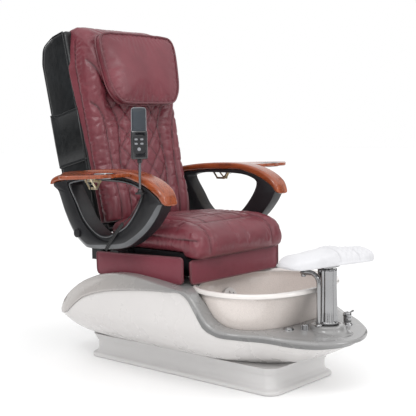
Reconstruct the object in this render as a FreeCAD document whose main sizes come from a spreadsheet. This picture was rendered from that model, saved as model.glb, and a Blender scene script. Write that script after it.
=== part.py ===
# Pedicure spa chair: a massage recliner seat on a boat-shaped fibreglass base with a foot bath.
# Millimetres. +Z is up, the chair faces -Y, the sitter's right hand is at -X.
# The origin is on the floor, on the symmetry plane, under the front half of the seat.
import FreeCAD, Part
import math
import os
import re

import Sketcher
from FreeCAD import Placement, Rotation, Vector

SIZES = [
    # alias, value, what it is
    ("plinth_half_width", 210, "foot of the plinth, centre to side"),
    ("plinth_front", 540, "plinth foot, origin to front"),
    ("plinth_rear", 458, "plinth foot, origin to rear"),
    ("plinth_height", 100, "floor to underside of the hull"),
    ("plinth_corner", 52, "plinth corner radius in plan"),
    ("plinth_waist", 24, "how far the plinth wall stands in from its foot"),
    ("plinth_flange", 18, "height of the plinth's foot and of its top flange"),
    ("hull_half_width", 356, "hull, centre to side"),
    ("hull_front", 775, "hull, origin to nose"),
    ("hull_rear", 552, "hull, origin to rear edge"),
    ("hull_wall", 6, "fibreglass wall"),
    ("deck_level", 382, "top of the rear deck"),
    ("bowl_half_width", 312, "foot bath, centre to rim edge"),
    ("bowl_half_length", 240, "foot bath, centre to front rim edge"),
    ("bowl_centre", 357, "origin to centre of the bath, forwards"),
    ("bowl_rim", 383, "top of the bath's rim"),
    ("bowl_floor", 172, "underside of the bath"),
    ("bowl_wall", 7, "acrylic wall"),
    ("column_forward", 635, "origin to footrest column, forwards"),
    ("column_base", 250, "top of the boss that carries the column"),
    ("column_top", 458, "top of the column"),
    ("column_radius", 38, "column at its base"),
    ("post_radius", 22, "telescoping post inside the column"),
    ("footrest_length", 416, "footrest pad, end to end"),
    ("footrest_depth", 118, "footrest pad, front to back"),
    ("footrest_turn", 13, "footrest swivel angle as it stands"),
    ("rail_height", 18, "slide rails on the rear deck"),
    ("rail_spacing", 171, "centre to slide rail"),
    ("rail_width", 22, "slide rail"),
    ("seat_half_width", 260, "seat cushion, centre to side"),
    ("seat_front", 245, "origin to front roll of the cushion"),
    ("seat_rear", 238, "origin to rear of the cushion"),
    ("seat_underside", 503, "underside of the cushion"),
    ("seat_top", 616, "crown of the cushion"),
    ("frame_half_width", 250, "seat frame, centre to side"),
    ("skirt_bottom", 386, "lower edge of the upholstered skirts"),
    ("skirt_height", 92, "upholstered skirts"),
    ("skirt_thickness", 12, "upholstered skirts"),
    ("skirt_offset", 289, "centre to inner face of a side skirt"),
    ("pivot_back", 300, "origin to back hinge, rearwards"),
    ("pivot_height", 560, "floor to back hinge"),
    ("pivot_radius", 10, "hinge pins"),
    ("running_gap", 0.05, "radial clearance of a running fit"),
    ("back_lean", 13.5, "backrest angle from upright"),
    ("back_half_width", 252, "backrest, centre to side"),
    ("back_height", 860, "hinge to top of the backrest"),
    ("shell_depth", 195, "hinge line to rear of the shell"),
    ("shell_wall", 5, "rear shell wall"),
    ("rail_reach", 150, "centre to massage guide rail"),
    ("screw_radius", 7, "lift screw"),
    ("arm_inner", 315, "centre to inner face of an arm loop"),
    ("arm_width", 70, "arm loop, side to side"),
    ("arm_pad_inner", 305, "centre to inner face of a wood arm pad"),
    ("arm_pad_width", 83, "wood arm pad, side to side"),
    ("tray_hinge_out", 398, "centre to tray hinge"),
    ("tray_hinge_height", 790, "floor to tray hinge"),
    ("tray_thickness", 14, "wood tray"),
    ("tray_level", 797, "underside of the tray"),
    ("dish_radius", 42, "metal dish in the tray"),
    ("strut_length", 52, "tray strut"),
    ("stalk_out", 405, "centre to handset stalk"),
    ("stalk_forward", 80, "origin to handset stalk, forwards"),
    ("stalk_foot", 733, "underside of the stalk's foot"),
    ("cradle_bottom", 862, "underside of the handset cradle"),
    ("handset_width", 54, "handset"),
    ("handset_depth", 20, "handset"),
    ("handset_length", 186, "handset"),
    ("cord_radius", 2, "handset cord"),
]

doc = FreeCAD.newDocument("pedicure_spa_chair")
sheet = doc.addObject("Spreadsheet::Sheet", "sizes")
for row, (alias, value, note) in enumerate(SIZES, start=1):
    sheet.set(f"A{row}", note)
    sheet.set(f"B{row}", str(value))
    sheet.setAlias(f"B{row}", alias)
doc.recompute()

SIZE = {alias: float(value) for alias, value, note in SIZES}
ALIAS = re.compile(r"[a-z_]+")
NODES = []
SIDES = {"right": -1, "left": 1}


# ---------------------------------------------------------------- helpers

def bound(text):
    """Turn 'arm_width / 2' into an expression that reads the sheet."""
    def swap(match):
        word = match.group()
        return f"sizes.{word}" if word in SIZE else word
    return ALIAS.sub(swap, str(text))


def value(text):
    """The number that an expression over the sheet gives."""
    def swap(match):
        return repr(SIZE[match.group()])
    return FreeCAD.Units.Quantity(ALIAS.sub(swap, str(text))).Value


def bind(thing, **expressions):
    for name, text in expressions.items():
        thing.setExpression(name.replace("__", "."), bound(text))


def keep(thing, label):
    thing.Label = label
    NODES.append(thing)
    return thing


def move(thing, x=0, y=0, z=0):
    bind(thing, Placement__Base__x=x, Placement__Base__y=y, Placement__Base__z=z)
    return thing


def box(name, x, y, z, dx, dy, dz):
    """A box from its low corner and its three sizes."""
    block = doc.addObject("Part::Box", name)
    bind(block, Length=dx, Width=dy, Height=dz)
    return move(block, x, y, z)


def rod(name, x, y, z, radius, length, axis="z"):
    """A cylinder that starts at a point and runs along one axis."""
    turn = {
        "z": Rotation(),
        "x": Rotation(Vector(0, 1, 0), 90),
        "y": Rotation(Vector(1, 0, 0), -90),
    }[axis]
    cylinder = doc.addObject("Part::Cylinder", name)
    bind(cylinder, Radius=radius, Height=length)
    cylinder.Placement = Placement(Vector(), turn)
    return move(cylinder, x, y, z)


def fuse(name, pieces):
    joined = doc.addObject("Part::MultiFuse", name)
    joined.Shapes = pieces
    return joined


def group(name, pieces):
    """Separate solids kept in one sub-part."""
    together = doc.addObject("Part::Compound", name)
    together.Links = pieces
    return together


def cut(name, base, tool):
    result = doc.addObject("Part::Cut", name)
    result.Base = base
    result.Tool = tool
    return result


def new_body(label):
    body = doc.addObject("PartDesign::Body", label)
    return keep(body, label)


def new_sketch(body, role, offset=0):
    """A sketch on one of the body's own origin planes."""
    plane = [item for item in body.Origin.OriginFeatures if item.Role == role][0]
    sketch = body.newObject("Sketcher::SketchObject", f"{body.Label}_sketch")
    sketch.AttachmentSupport = [(plane, "")]
    sketch.MapMode = "FlatFace"
    bind(sketch, AttachmentOffset__Base__z=offset)
    return sketch


def polygon(sketch, corners):
    """A closed outline; each corner's two coordinates are expressions over the sheet."""
    points = [Vector(value(x), value(y), 0) for x, y in corners]
    first = sketch.GeometryCount
    count = len(points)
    for index in range(count):
        sketch.addGeometry(Part.LineSegment(points[index], points[(index + 1) % count]), False)
    for index in range(count):
        line = first + index
        after = first + (index + 1) % count
        sketch.addConstraint(Sketcher.Constraint("Coincident", line, 2, after, 1))
        for kind, number, text in (("DistanceX", points[index].x, corners[index][0]),
                                   ("DistanceY", points[index].y, corners[index][1])):
            datum = sketch.addConstraint(Sketcher.Constraint(kind, -1, 1, line, 1, number))
            sketch.setExpression(f"Constraints[{datum}]", bound(text))
    return list(range(first, first + count))


def round_corners(sketch, lines, radii):
    """Round the corner that starts each line; radii follow the corners, 0 leaves one sharp."""
    for index, radius in enumerate(radii):
        if not radius:
            continue
        before = sketch.Geometry[lines[index - 1]]
        after = sketch.Geometry[lines[index]]
        near_before = before.EndPoint + (before.StartPoint - before.EndPoint).normalize() * 0.5
        near_after = after.StartPoint + (after.EndPoint - after.StartPoint).normalize() * 0.5
        sketch.fillet(lines[index - 1], lines[index], near_before, near_after, radius, True, True)


def circle(sketch, x, y, radius):
    ring = sketch.addGeometry(
        Part.Circle(Vector(value(x), value(y), 0), Vector(0, 0, 1), value(radius)), False)
    for kind, text in (("DistanceX", x), ("DistanceY", y)):
        datum = sketch.addConstraint(Sketcher.Constraint(kind, -1, 1, ring, 3, value(text)))
        sketch.setExpression(f"Constraints[{datum}]", bound(text))
    datum = sketch.addConstraint(Sketcher.Constraint("Radius", ring, value(radius)))
    sketch.setExpression(f"Constraints[{datum}]", bound(radius))


def curve(sketch, points, closed=False):
    """A smooth outline through points."""
    spline = Part.BSplineCurve()
    spline.interpolate([Vector(x, y, 0) for x, y in points], PeriodicFlag=closed)
    return sketch.addGeometry(spline, False)


def pad(body, sketch, length):
    step = body.newObject("PartDesign::Pad", f"{body.Label}_pad")
    step.Profile = sketch
    bind(step, Length=length)
    doc.recompute()


def pocket(body, sketch, length, reverse=False):
    """Cut a sketch into the body; the cut has to take something away."""
    before = body.Shape.Volume
    step = body.newObject("PartDesign::Pocket", f"{body.Label}_pocket")
    step.Profile = sketch
    step.Reversed = reverse
    bind(step, Length=length)
    doc.recompute()
    if not body.Shape.Volume < before - 1:
        raise ValueError(f"{body.Label}: the pocket cuts nothing")


def plate(label, role, offset, corners, thickness, radii=None):
    """A sub-part cut from sheet: an outline on one plane, given a thickness."""
    body = new_body(label)
    sketch = new_sketch(body, role, offset)
    lines = polygon(sketch, corners)
    if radii:
        round_corners(sketch, lines, radii)
    pad(body, sketch, thickness)
    return body


def set_in_back(thing):
    """Place a piece drawn in the backrest's own axes: x across, y rearwards, z up the back."""
    thing.Placement = Placement(Vector(), Rotation(Vector(-1, 0, 0), SIZE["back_lean"]))
    move(thing, 0, "pivot_back", "pivot_height")
    thing.setExpression("Placement.Rotation.Angle", bound("back_lean"))
    return thing


def feature(label, shape):
    """A sub-part whose shape is lofted, swept or turned; its sizes are read from the sheet."""
    thing = doc.addObject("Part::Feature", label)
    thing.Shape = shape
    return keep(thing, label)


def superellipse(level, centre, half_x, half_y, power, corners=24):
    """A closed wire at one level, between an ellipse and a rounded rectangle."""
    points = []
    for step in range(corners):
        turn = 2 * math.pi * step / corners
        across = math.copysign(abs(math.cos(turn)) ** (2 / power), math.cos(turn))
        along = math.copysign(abs(math.sin(turn)) ** (2 / power), math.sin(turn))
        points.append(Vector(half_x * across, centre + half_y * along, level))
    spline = Part.BSplineCurve()
    spline.interpolate(points, PeriodicFlag=True)
    return Part.Wire([spline.toShape()])


def prism_across(profile, half_width):
    """A side outline in Y and Z, carried across the chair from side to side."""
    points = [Vector(-half_width, y, z) for y, z in profile]
    face = Part.Face(Part.makePolygon(points + points[:1]))
    return face.extrude(Vector(2 * half_width, 0, 0))


# ---------------------------------------------------------------- base

HULL_LEVELS = (
    # level, half width, front and rear as a share of the hull's own, width of the nose
    (100, 0.575, 0.705, 0.790, 0.170),
    (128, 0.740, 0.800, 0.870, 0.200),
    (168, 0.880, 0.905, 0.945, 0.232),
    (215, 0.965, 0.990, 1.000, 0.256),
    (300, 1.000, 1.000, 1.000, 0.262),
    (400, 0.990, 1.000, 0.990, 0.262),
)
SEAM = ((552, 200), (471, 207), (310, 299), (194, 333), (83, 351), (-160, 371), (-225, 372),
        (-268, 345), (-300, 300), (-325, 262), (-371, 236), (-460, 225), (-560, 212), (-660, 193),
        (-800, 180))
CREST = ((565, 212), (545, 222), (430, 305), (330, 360), (270, 382), (-195, 382), (-240, 377),
         (-282, 357), (-312, 322), (-338, 288), (-375, 262), (-430, 250), (-520, 243), (-640, 229),
         (-800, 208))


# Where the fittings stand in plan, and the radius and level of the flat cut into the deck for each.
DRAIN = (0, -410)
SPOUT = (-52, -632)
CONTROLS = {
    "air_button": (-130, -552),
    "diverter": (-84, -592),
    "mixer": (116, -648),
}
SPOT_FACES = {
    "air_button": (21.5, 236.8),
    "diverter": (15, 232.8),
    "mixer": (20.5, 225.3),
}
JET_AT = Vector(0, -160, 285)
JET_TILT = 15


def hull_wire(level, width_share, front_share, rear_share, nose, inset):
    """Boat-shaped plan outline: square stern, full sides, shoulders that draw in to a round nose."""
    half = SIZE["hull_half_width"] * width_share - inset
    front = -SIZE["hull_front"] * front_share + inset
    rear = SIZE["hull_rear"] * rear_share - inset
    nose_half = nose * 1000 - inset
    half_outline = [
        (0, rear), (half * 0.40, rear - 1), (half * 0.70, rear - 7), (half * 0.88, rear - 32),
        (half * 0.965, rear - 100), (half * 0.992, rear - 260), (half, 60), (half * 0.995, -200),
        (half * 0.955, front * 0.54), (nose_half * 1.00, front * 0.70), (nose_half * 0.82, front * 0.82),
        (nose_half * 0.50, front * 0.940), (0, front),
    ]
    points = [Vector(x, y, level) for x, y in half_outline]
    points += [Vector(-x, y, level) for x, y in reversed(half_outline[1:-1])]
    spline = Part.BSplineCurve()
    spline.interpolate(points, PeriodicFlag=True)
    return Part.Wire([spline.toShape()])


def hull_loft(inset):
    wires = [hull_wire(*level, inset) for level in HULL_LEVELS]
    return Part.makeLoft(wires, True, True)


def build_plinth():
    body = new_body("plinth")
    layers = (
        (0, "plinth_flange", 0),
        ("plinth_flange", "plinth_height - 2 * plinth_flange", "plinth_waist"),
        ("plinth_height - plinth_flange", "plinth_flange", 8),
    )
    for bottom, height, inset in layers:
        sketch = new_sketch(body, "XY_Plane", bottom)
        lines = polygon(sketch, rectangle_corners(inset))
        round_corners(sketch, lines, [SIZE["plinth_corner"] - value(inset)] * 4)
        pad(body, sketch, height)
    sketch = new_sketch(body, "XY_Plane", "plinth_height")
    lines = polygon(sketch, rectangle_corners("plinth_waist + hull_wall"))
    inner = SIZE["plinth_corner"] - SIZE["plinth_waist"] - SIZE["hull_wall"]
    round_corners(sketch, lines, [inner] * 4)
    pocket(body, sketch, "plinth_height - hull_wall")


def rectangle_corners(inset):
    side = f"plinth_half_width - ({inset})"
    front = f"-plinth_front + ({inset})"
    rear = f"plinth_rear - ({inset})"
    return [(f"-({side})", front), (side, front), (side, rear), (f"-({side})", rear)]


def build_hull_and_deck():
    wall = SIZE["hull_wall"]
    outer = hull_loft(0)
    inner = hull_loft(wall)
    low = ((900, 90), (900, 200)) + SEAM + ((-900, 180), (-900, 90))
    below_seam = prism_across(low, 500)
    bottom_hole = Part.makeBox(2 * 150, 700, 60, Vector(-150, -420, 80))
    hull = outer.common(below_seam).cut(inner.translated(Vector(0, 0, wall))).cut(bottom_hole)
    feature("hull", hull)

    band = tuple(CREST) + tuple(reversed(SEAM))
    top_skin = outer.common(prism_across(band, 500))
    under = tuple((y, z - wall) for y, z in CREST) + ((-800, 60), (565, 60))
    deck = top_skin.cut(inner.common(prism_across(under, 500)))
    centre = -SIZE["bowl_centre"]
    rim_x = SIZE["bowl_half_width"] + 3
    rim_y = SIZE["bowl_half_length"] + 3
    rim_hole = Part.makeLoft([superellipse(300, centre, rim_x, rim_y, 2.35),
                              superellipse(500, centre, rim_x, rim_y, 2.35)], True)
    deck = deck.cut(rim_hole)
    deck = deck.cut(bowl_loft(0.4))
    column_y = -SIZE["column_forward"]
    boss = Part.makeCone(88, 62, SIZE["column_base"] - 205, Vector(0, column_y, 205))
    boss = boss.common(hull_loft(wall + 2)).cut(bowl_loft(0.4)).cut(rim_hole)
    deck = deck.fuse(boss)
    holes = [Part.makeCylinder(9, 80, Vector(x, y, 180)) for x, y in CONTROLS.values()]
    holes.append(Part.makeCylinder(9, 120, Vector(SPOUT[0], SPOUT[1], 180)))
    for name, (radius, level) in SPOT_FACES.items():
        holes.append(Part.makeCylinder(radius, 40, Vector(*CONTROLS[name], level)))
    feature("deck", deck.cut(Part.makeCompound(holes)).removeSplitter())


def build_bowl():
    floor = SIZE["bowl_floor"]
    wall = SIZE["bowl_wall"]
    rim = SIZE["bowl_rim"]
    centre = -SIZE["bowl_centre"]
    lip = Part.makeLoft([
        superellipse(rim - 17, centre, SIZE["bowl_half_width"] - 2, SIZE["bowl_half_length"] - 2, 2.35),
        superellipse(rim - 12, centre, SIZE["bowl_half_width"], SIZE["bowl_half_length"], 2.35),
        superellipse(rim, centre, SIZE["bowl_half_width"], SIZE["bowl_half_length"], 2.35)], True)
    solid = bowl_loft(0).fuse(lip)
    bowl = solid.cut(bowl_loft(-wall).translated(Vector(0, 0, wall)))
    bowl = bowl.cut(Part.makeCylinder(22, 40, Vector(DRAIN[0], DRAIN[1], floor - 10)))
    jet = jet_place()
    tools = [Part.makeCylinder(46, 60, Vector(0, 0, -3)), Part.makeCylinder(26, 80, Vector(0, 0, -40))]
    for tool in tools:
        tool.Placement = jet
        bowl = bowl.cut(tool)
    feature("bowl", bowl)


def bowl_loft(grow):
    """The bath's body, grown outwards (or inwards, for its inside), up to its rim."""
    sections = (
        # level, centre, half width, half length, power
        (SIZE["bowl_floor"], -345, 232, 142, 2.6),
        (SIZE["bowl_floor"] + 26, -345, 262, 166, 2.6),
        (260, -345, 289, 187, 2.6),
        (330, -350, 301, 208, 2.4),
        (SIZE["bowl_rim"], -SIZE["bowl_centre"], 304, 231, 2.35),
    )
    wires = [superellipse(level, centre, half_x + grow, half_y + grow, power)
             for level, centre, half_x, half_y, power in sections]
    return Part.makeLoft(wires, True, True)


def jet_place():
    """On the bath's rear wall, facing forwards and a little up; local z points into the bath."""
    return Placement(JET_AT, Rotation(Vector(1, 0, 0), 90 - JET_TILT))


def spokes(name, count, size, corner):
    """Equal boxes spread round the local z axis."""
    made = []
    for n in range(count):
        spoke = doc.addObject("Part::Box", f"{name}_{n}")
        spoke.Length, spoke.Width, spoke.Height = size
        turn = Placement(Vector(), Rotation(Vector(0, 0, 1), 360 * n / count))
        spoke.Placement = turn.multiply(Placement(Vector(*corner), Rotation()))
        made.append(spoke)
    return made


def build_plumbing():
    strainer = cut("strainer_cut",
                   fuse("strainer_body", [
                       rod("strainer_flange", DRAIN[0], DRAIN[1], "bowl_floor + bowl_wall", 30, 3),
                       rod("strainer_tail", DRAIN[0], DRAIN[1], "bowl_floor - 36", 21.5,
                           "36 + bowl_wall")]),
                   rod("strainer_bore", DRAIN[0], DRAIN[1], "bowl_floor - 40", 17, "40 + bowl_wall"))
    holes = [rod(f"strainer_hole_{n}", DRAIN[0] + 10 * math.cos(n * math.pi / 3),
                 DRAIN[1] + 10 * math.sin(n * math.pi / 3), "bowl_floor", 3, 20) for n in range(6)]
    keep(cut("drain_strainer", strainer, fuse("strainer_holes", holes)), "drain_strainer")

    cover = cut("jet_cover_shell", rod("jet_disc", 0, 0, -3, 45, 20), rod("jet_hollow", 0, 0, -4, 39, 17))
    slots = spokes("jet_slot", 8, (6, 20, 20), (-3, 12, 8))
    jet_cover = cut("jet_cover", cover, fuse("jet_slots", slots))
    blades = spokes("impeller_blade", 4, (26, 3, 9), (0, -1.5, 1))
    impeller = fuse("jet_impeller", blades + [rod("impeller_hub", 0, 0, -2, 9, 13)])
    motor = fuse("jet_motor", [rod("motor_can", 0, 0, -104, 40, 90),
                               rod("motor_neck", 0, 0, -14, 25.5, 10)])
    for thing, label in ((jet_cover, "jet_cover"), (impeller, "jet_impeller"), (motor, "jet_motor")):
        thing.Placement = jet_place()
        keep(thing, label)


def build_footrest():
    y = "-column_forward"
    outer = doc.addObject("Part::Cone", "column_outer")
    bind(outer, Radius1="column_radius", Radius2="column_radius - 9",
         Height="column_top - column_base")
    move(outer, 0, y, "column_base")
    bore = rod("column_bore", 0, y, "column_base - 1", "post_radius + running_gap",
               "column_top - column_base + 2")
    keep(cut("footrest_column", outer, bore), "footrest_column")
    keep(fuse("footrest_post", [
        rod("post_tube", 0, y, "column_base + 30", "post_radius", "column_top - column_base - 22"),
        rod("post_plate", 0, y, "column_top + 8", 46, 5),
    ]), "footrest_post")

    body = new_body("footrest_pad")
    sketch = new_sketch(body, "XZ_Plane", "-footrest_depth / 2")
    half = SIZE["footrest_length"] / 2
    low = SIZE["column_top"] + 13.3
    top = ((-half, low + 18), (-half + 22, low + 42), (-half * 0.62, low + 52), (-half * 0.28, low + 62),
           (0, low + 72), (half * 0.28, low + 62), (half * 0.62, low + 52), (half - 22, low + 42),
           (half, low + 18))
    curve(sketch, top)
    bottom = ((half, low + 18), (half - 14, low), (-half + 14, low), (-half, low + 18))
    for start, end in zip(bottom, bottom[1:]):
        sketch.addGeometry(Part.LineSegment(Vector(*start, 0), Vector(*end, 0)), False)
    pad(body, sketch, "footrest_depth")
    body.Placement = Placement(Vector(), Rotation(Vector(0, 0, -1), SIZE["footrest_turn"]))
    move(body, 0, y, 0)
    body.setExpression("Placement.Rotation.Angle", bound("footrest_turn"))


def build_taps():
    x, y = SPOUT
    keep(fuse("spout", [
        rod("spout_stem", x, y, 224, 8, 214),
        rod("spout_foot", x, y, "column_base + 0.3", 13, 8),
        rod("spout_elbow", x, y, 438, 9, 14),
        box("spout_nozzle", x - 13, y + 4, 437, 26, 76, 13),
    ]), "spout")

    x, y = CONTROLS["mixer"]
    seat = SPOT_FACES["mixer"][1]
    keep(fuse("mixer_body", [
        rod("mixer_base", x, y, seat, 20, 8),
        rod("mixer_barrel", x, y, seat + 8, 15, 26),
        rod("mixer_thread", x, y, seat - 30, 8.9, 31),
    ]), "mixer_body")
    keep(fuse("mixer_lever", [
        rod("lever_cap", x, y, seat + 34.3, 16, 16),
        box("lever_handle", x, y - 5, seat + 43, 48, 10, 6),
    ]), "mixer_lever")

    x, y = CONTROLS["diverter"]
    seat = SPOT_FACES["diverter"][1]
    keep(fuse("diverter_knob", [
        rod("knob_grip", x, y, seat + 0.3, 14, 25),
        rod("knob_stem", x, y, seat - 28, 8.8, 29),
        box("knob_key", x + 8, y - 3, seat + 8, 14, 6, 12),
    ]), "diverter_knob")

    x, y = CONTROLS["air_button"]
    seat = SPOT_FACES["air_button"][1]
    bezel = fuse("bezel_solid", [
        rod("bezel_ring", x, y, seat, 21, 10),
        rod("bezel_tail", x, y, seat - 36, 8.9, 37),
    ])
    space = fuse("bezel_space", [
        rod("bezel_seat", x, y, seat + 3, 14.3, 12),
        rod("bezel_bore", x, y, seat - 34, 4.05, 45),
    ])
    keep(cut("air_button_bezel", bezel, space), "air_button_bezel")
    keep(fuse("air_button", [
        rod("button_cap", x, y, seat + 8, 14, 5),
        rod("button_stem", x, y, seat - 25, 4, 34),
    ]), "air_button")


def build_base_insides():
    posts = []
    for name, x in (("right", -150), ("left", 120)):
        posts.append(box(f"base_sill_{name}", x, -400, "hull_wall", 30, 800, 30))
        posts.append(box(f"base_beam_{name}", x, -95, "deck_level - hull_wall - 30", 30, 360, 30))
        for place, y in (("front", -95), ("rear", 235)):
            posts.append(box(f"base_post_{name}_{place}", x, y, 36, 30, 30,
                             "deck_level - hull_wall - 66"))
    for place, y in (("front", -400), ("rear", 370)):
        posts.append(box(f"base_cross_{place}", -120, y, "hull_wall", 240, 30, 30))
    keep(fuse("base_frame", posts), "base_frame")
    keep(box("control_box", -70, 60, "hull_wall", 140, 180, 60), "control_box")

    rails = []
    for name, side in SIDES.items():
        rails.append(box(f"slide_rail_{name}", f"{side} * rail_spacing - rail_width / 2", -110,
                         "deck_level", "rail_width", 375, "rail_height"))
    keep(group("slide_rails", rails), "slide_rails")
    keep(fuse("slide_actuator", [
        box("slide_motor", -32, 120, "deck_level", 64, 120, 28),
        rod("slide_screw", 0, -90, "deck_level + 14", "screw_radius", 212, "y"),
        box("slide_foot", -14, -100, "deck_level", 28, 12, 24),
    ]), "slide_actuator")


# ---------------------------------------------------------------- seat carriage

def build_seat():
    runner_bottom = "deck_level + rail_height + 0.3"
    parts = []
    for name, side in SIDES.items():
        parts.append(box(f"runner_{name}", f"{side} * rail_spacing - 14", -185, runner_bottom,
                         28, 440, 42))
        parts.append(box(f"side_member_{name}", f"{side} * (frame_half_width - 12.5) - 12.5", -190,
                         "seat_underside - 62", 25, 525, 40))
        parts.append(box(f"upright_{name}", f"{side} * 280 - 4", 268, "seat_underside - 62", 8, 64, 152))
        parts.append(box(f"upright_foot_{name}", f"{side} * 265 - 15", 268, "seat_underside - 62",
                         30, 30, 40))
        parts.append(rod(f"pivot_boss_{name}", f"{side} * 298.5 - 14.5", "pivot_back", "pivot_height",
                         18, 29, "x"))
        parts.append(box(f"arm_stop_{name}", f"{side} * 305 - 30", 120, "seat_underside - 14",
                         60, 44, 8))
        parts.append(box(f"arm_stop_leg_{name}", f"{side} * 265 - 20", 120, "seat_underside - 34",
                         40, 44, 22))
        for place, y in (("front", -150), ("rear", 200)):
            parts.append(box(f"skirt_bracket_{name}_{place}", f"{side} * 269.5 - 19.5", y,
                             "skirt_bottom + 60", 39, 24, 10))
        parts.append(box(f"front_bracket_{name}", f"{side} * 150 - 12", -194,
                         "seat_underside - 60", 24, 14, 20))
    for place, y in (("front", -190), ("middle", 40), ("rear", 305)):
        parts.append(box(f"cross_member_{place}", "-frame_half_width + 10", y, "seat_underside - 62",
                         "2 * frame_half_width - 20", 30, 38))
    parts.append(box("seat_pan", "-frame_half_width", -165, "seat_underside - 24",
                     "2 * frame_half_width", 370, 22))
    parts.append(box("slide_nut", -42, 96, "deck_level + 4", 54, 16, 22))
    parts.append(box("slide_nut_leg", -42, 96, "deck_level + 4", 10, 16, 95))
    frame = fuse("seat_frame_solid", parts)
    holes = fuse("seat_frame_holes", [
        rod("seat_pin_hole", -400, "pivot_back", "pivot_height", "pivot_radius", 800, "x"),
        rod("slide_nut_bore", 0, 80, "deck_level + 14", "screw_radius + running_gap", 60, "y"),
    ])
    keep(cut("seat_frame", frame, holes), "seat_frame")

    body = new_body("seat_cushion")
    sketch = new_sketch(body, "YZ_Plane", "-seat_half_width")
    lines = polygon(sketch, [
        ("-seat_front + 22", "seat_underside - 22"),
        ("-seat_front + 60", "seat_underside - 18"),
        ("-seat_front + 75", "seat_underside"),
        ("seat_rear", "seat_underside"),
        ("seat_rear", "seat_top - 18"),
        ("seat_rear - 120", "seat_top - 2"),
        ("-seat_front + 160", "seat_top"),
        ("-seat_front + 70", "seat_top - 10"),
        ("-seat_front + 18", "seat_top - 42"),
        ("-seat_front", "seat_top - 90"),
        ("-seat_front + 2", "seat_underside - 14"),
    ])
    round_corners(sketch, lines, [0, 0, 0, 0, 30, 0, 0, 0, 0, 0, 0])
    pad(body, sketch, "2 * seat_half_width")

    plate("front_skirt", "XZ_Plane", 194, [
        ("-268", "skirt_bottom"), ("268", "skirt_bottom"),
        ("273", "skirt_bottom + skirt_height"), ("-273", "skirt_bottom + skirt_height"),
    ], "skirt_thickness", [16, 16, 12, 12])
    for name, side in SIDES.items():
        offset = "skirt_offset" if side > 0 else "-skirt_offset - skirt_thickness"
        plate(f"side_skirt_{name}", "YZ_Plane", offset, [
            (-189, "skirt_bottom + 3"), (285, "skirt_bottom"),
            (288, "skirt_bottom + skirt_height"), (-189, "skirt_bottom + skirt_height + 14"),
        ], "skirt_thickness", [16, 22, 10, 14])

    level = "seat_underside - 76"
    actuator = fuse("recline_actuator_solid", [
        box("recline_gearbox", -30, 10, "seat_underside - 86", 60, 80, 24),
        rod("recline_tube", 0, 90, level, 11.5, 90, "y"),
    ])
    bore = rod("recline_bore", 0, 60, level, "6 + running_gap", 200, "y")
    keep(cut("recline_actuator", actuator, bore), "recline_actuator")
    keep(fuse("recline_rod", [
        rod("recline_shaft", 0, 130, level, 6, 120, "y"),
        box("fork_bridge", -10, 245, "seat_underside - 84", 20, 6, 16),
        box("fork_right", -10, 250, "seat_underside - 84", 3, 32, 16),
        box("fork_left", 7, 250, "seat_underside - 84", 3, 32, 16),
    ]), "recline_rod")
    pins = []
    for name, side in SIDES.items():
        inner = 228 if side > 0 else -392
        pins.append(fuse(f"pivot_pin_{name}", [
            rod(f"pin_shaft_{name}", inner, "pivot_back", "pivot_height", "pivot_radius", 164, "x"),
            rod(f"pin_cap_{name}", 386 if side > 0 else -392, "pivot_back", "pivot_height", 17, 6, "x"),
        ]))
    keep(group("pivot_pins", pins), "pivot_pins")


# ---------------------------------------------------------------- backrest

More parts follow.
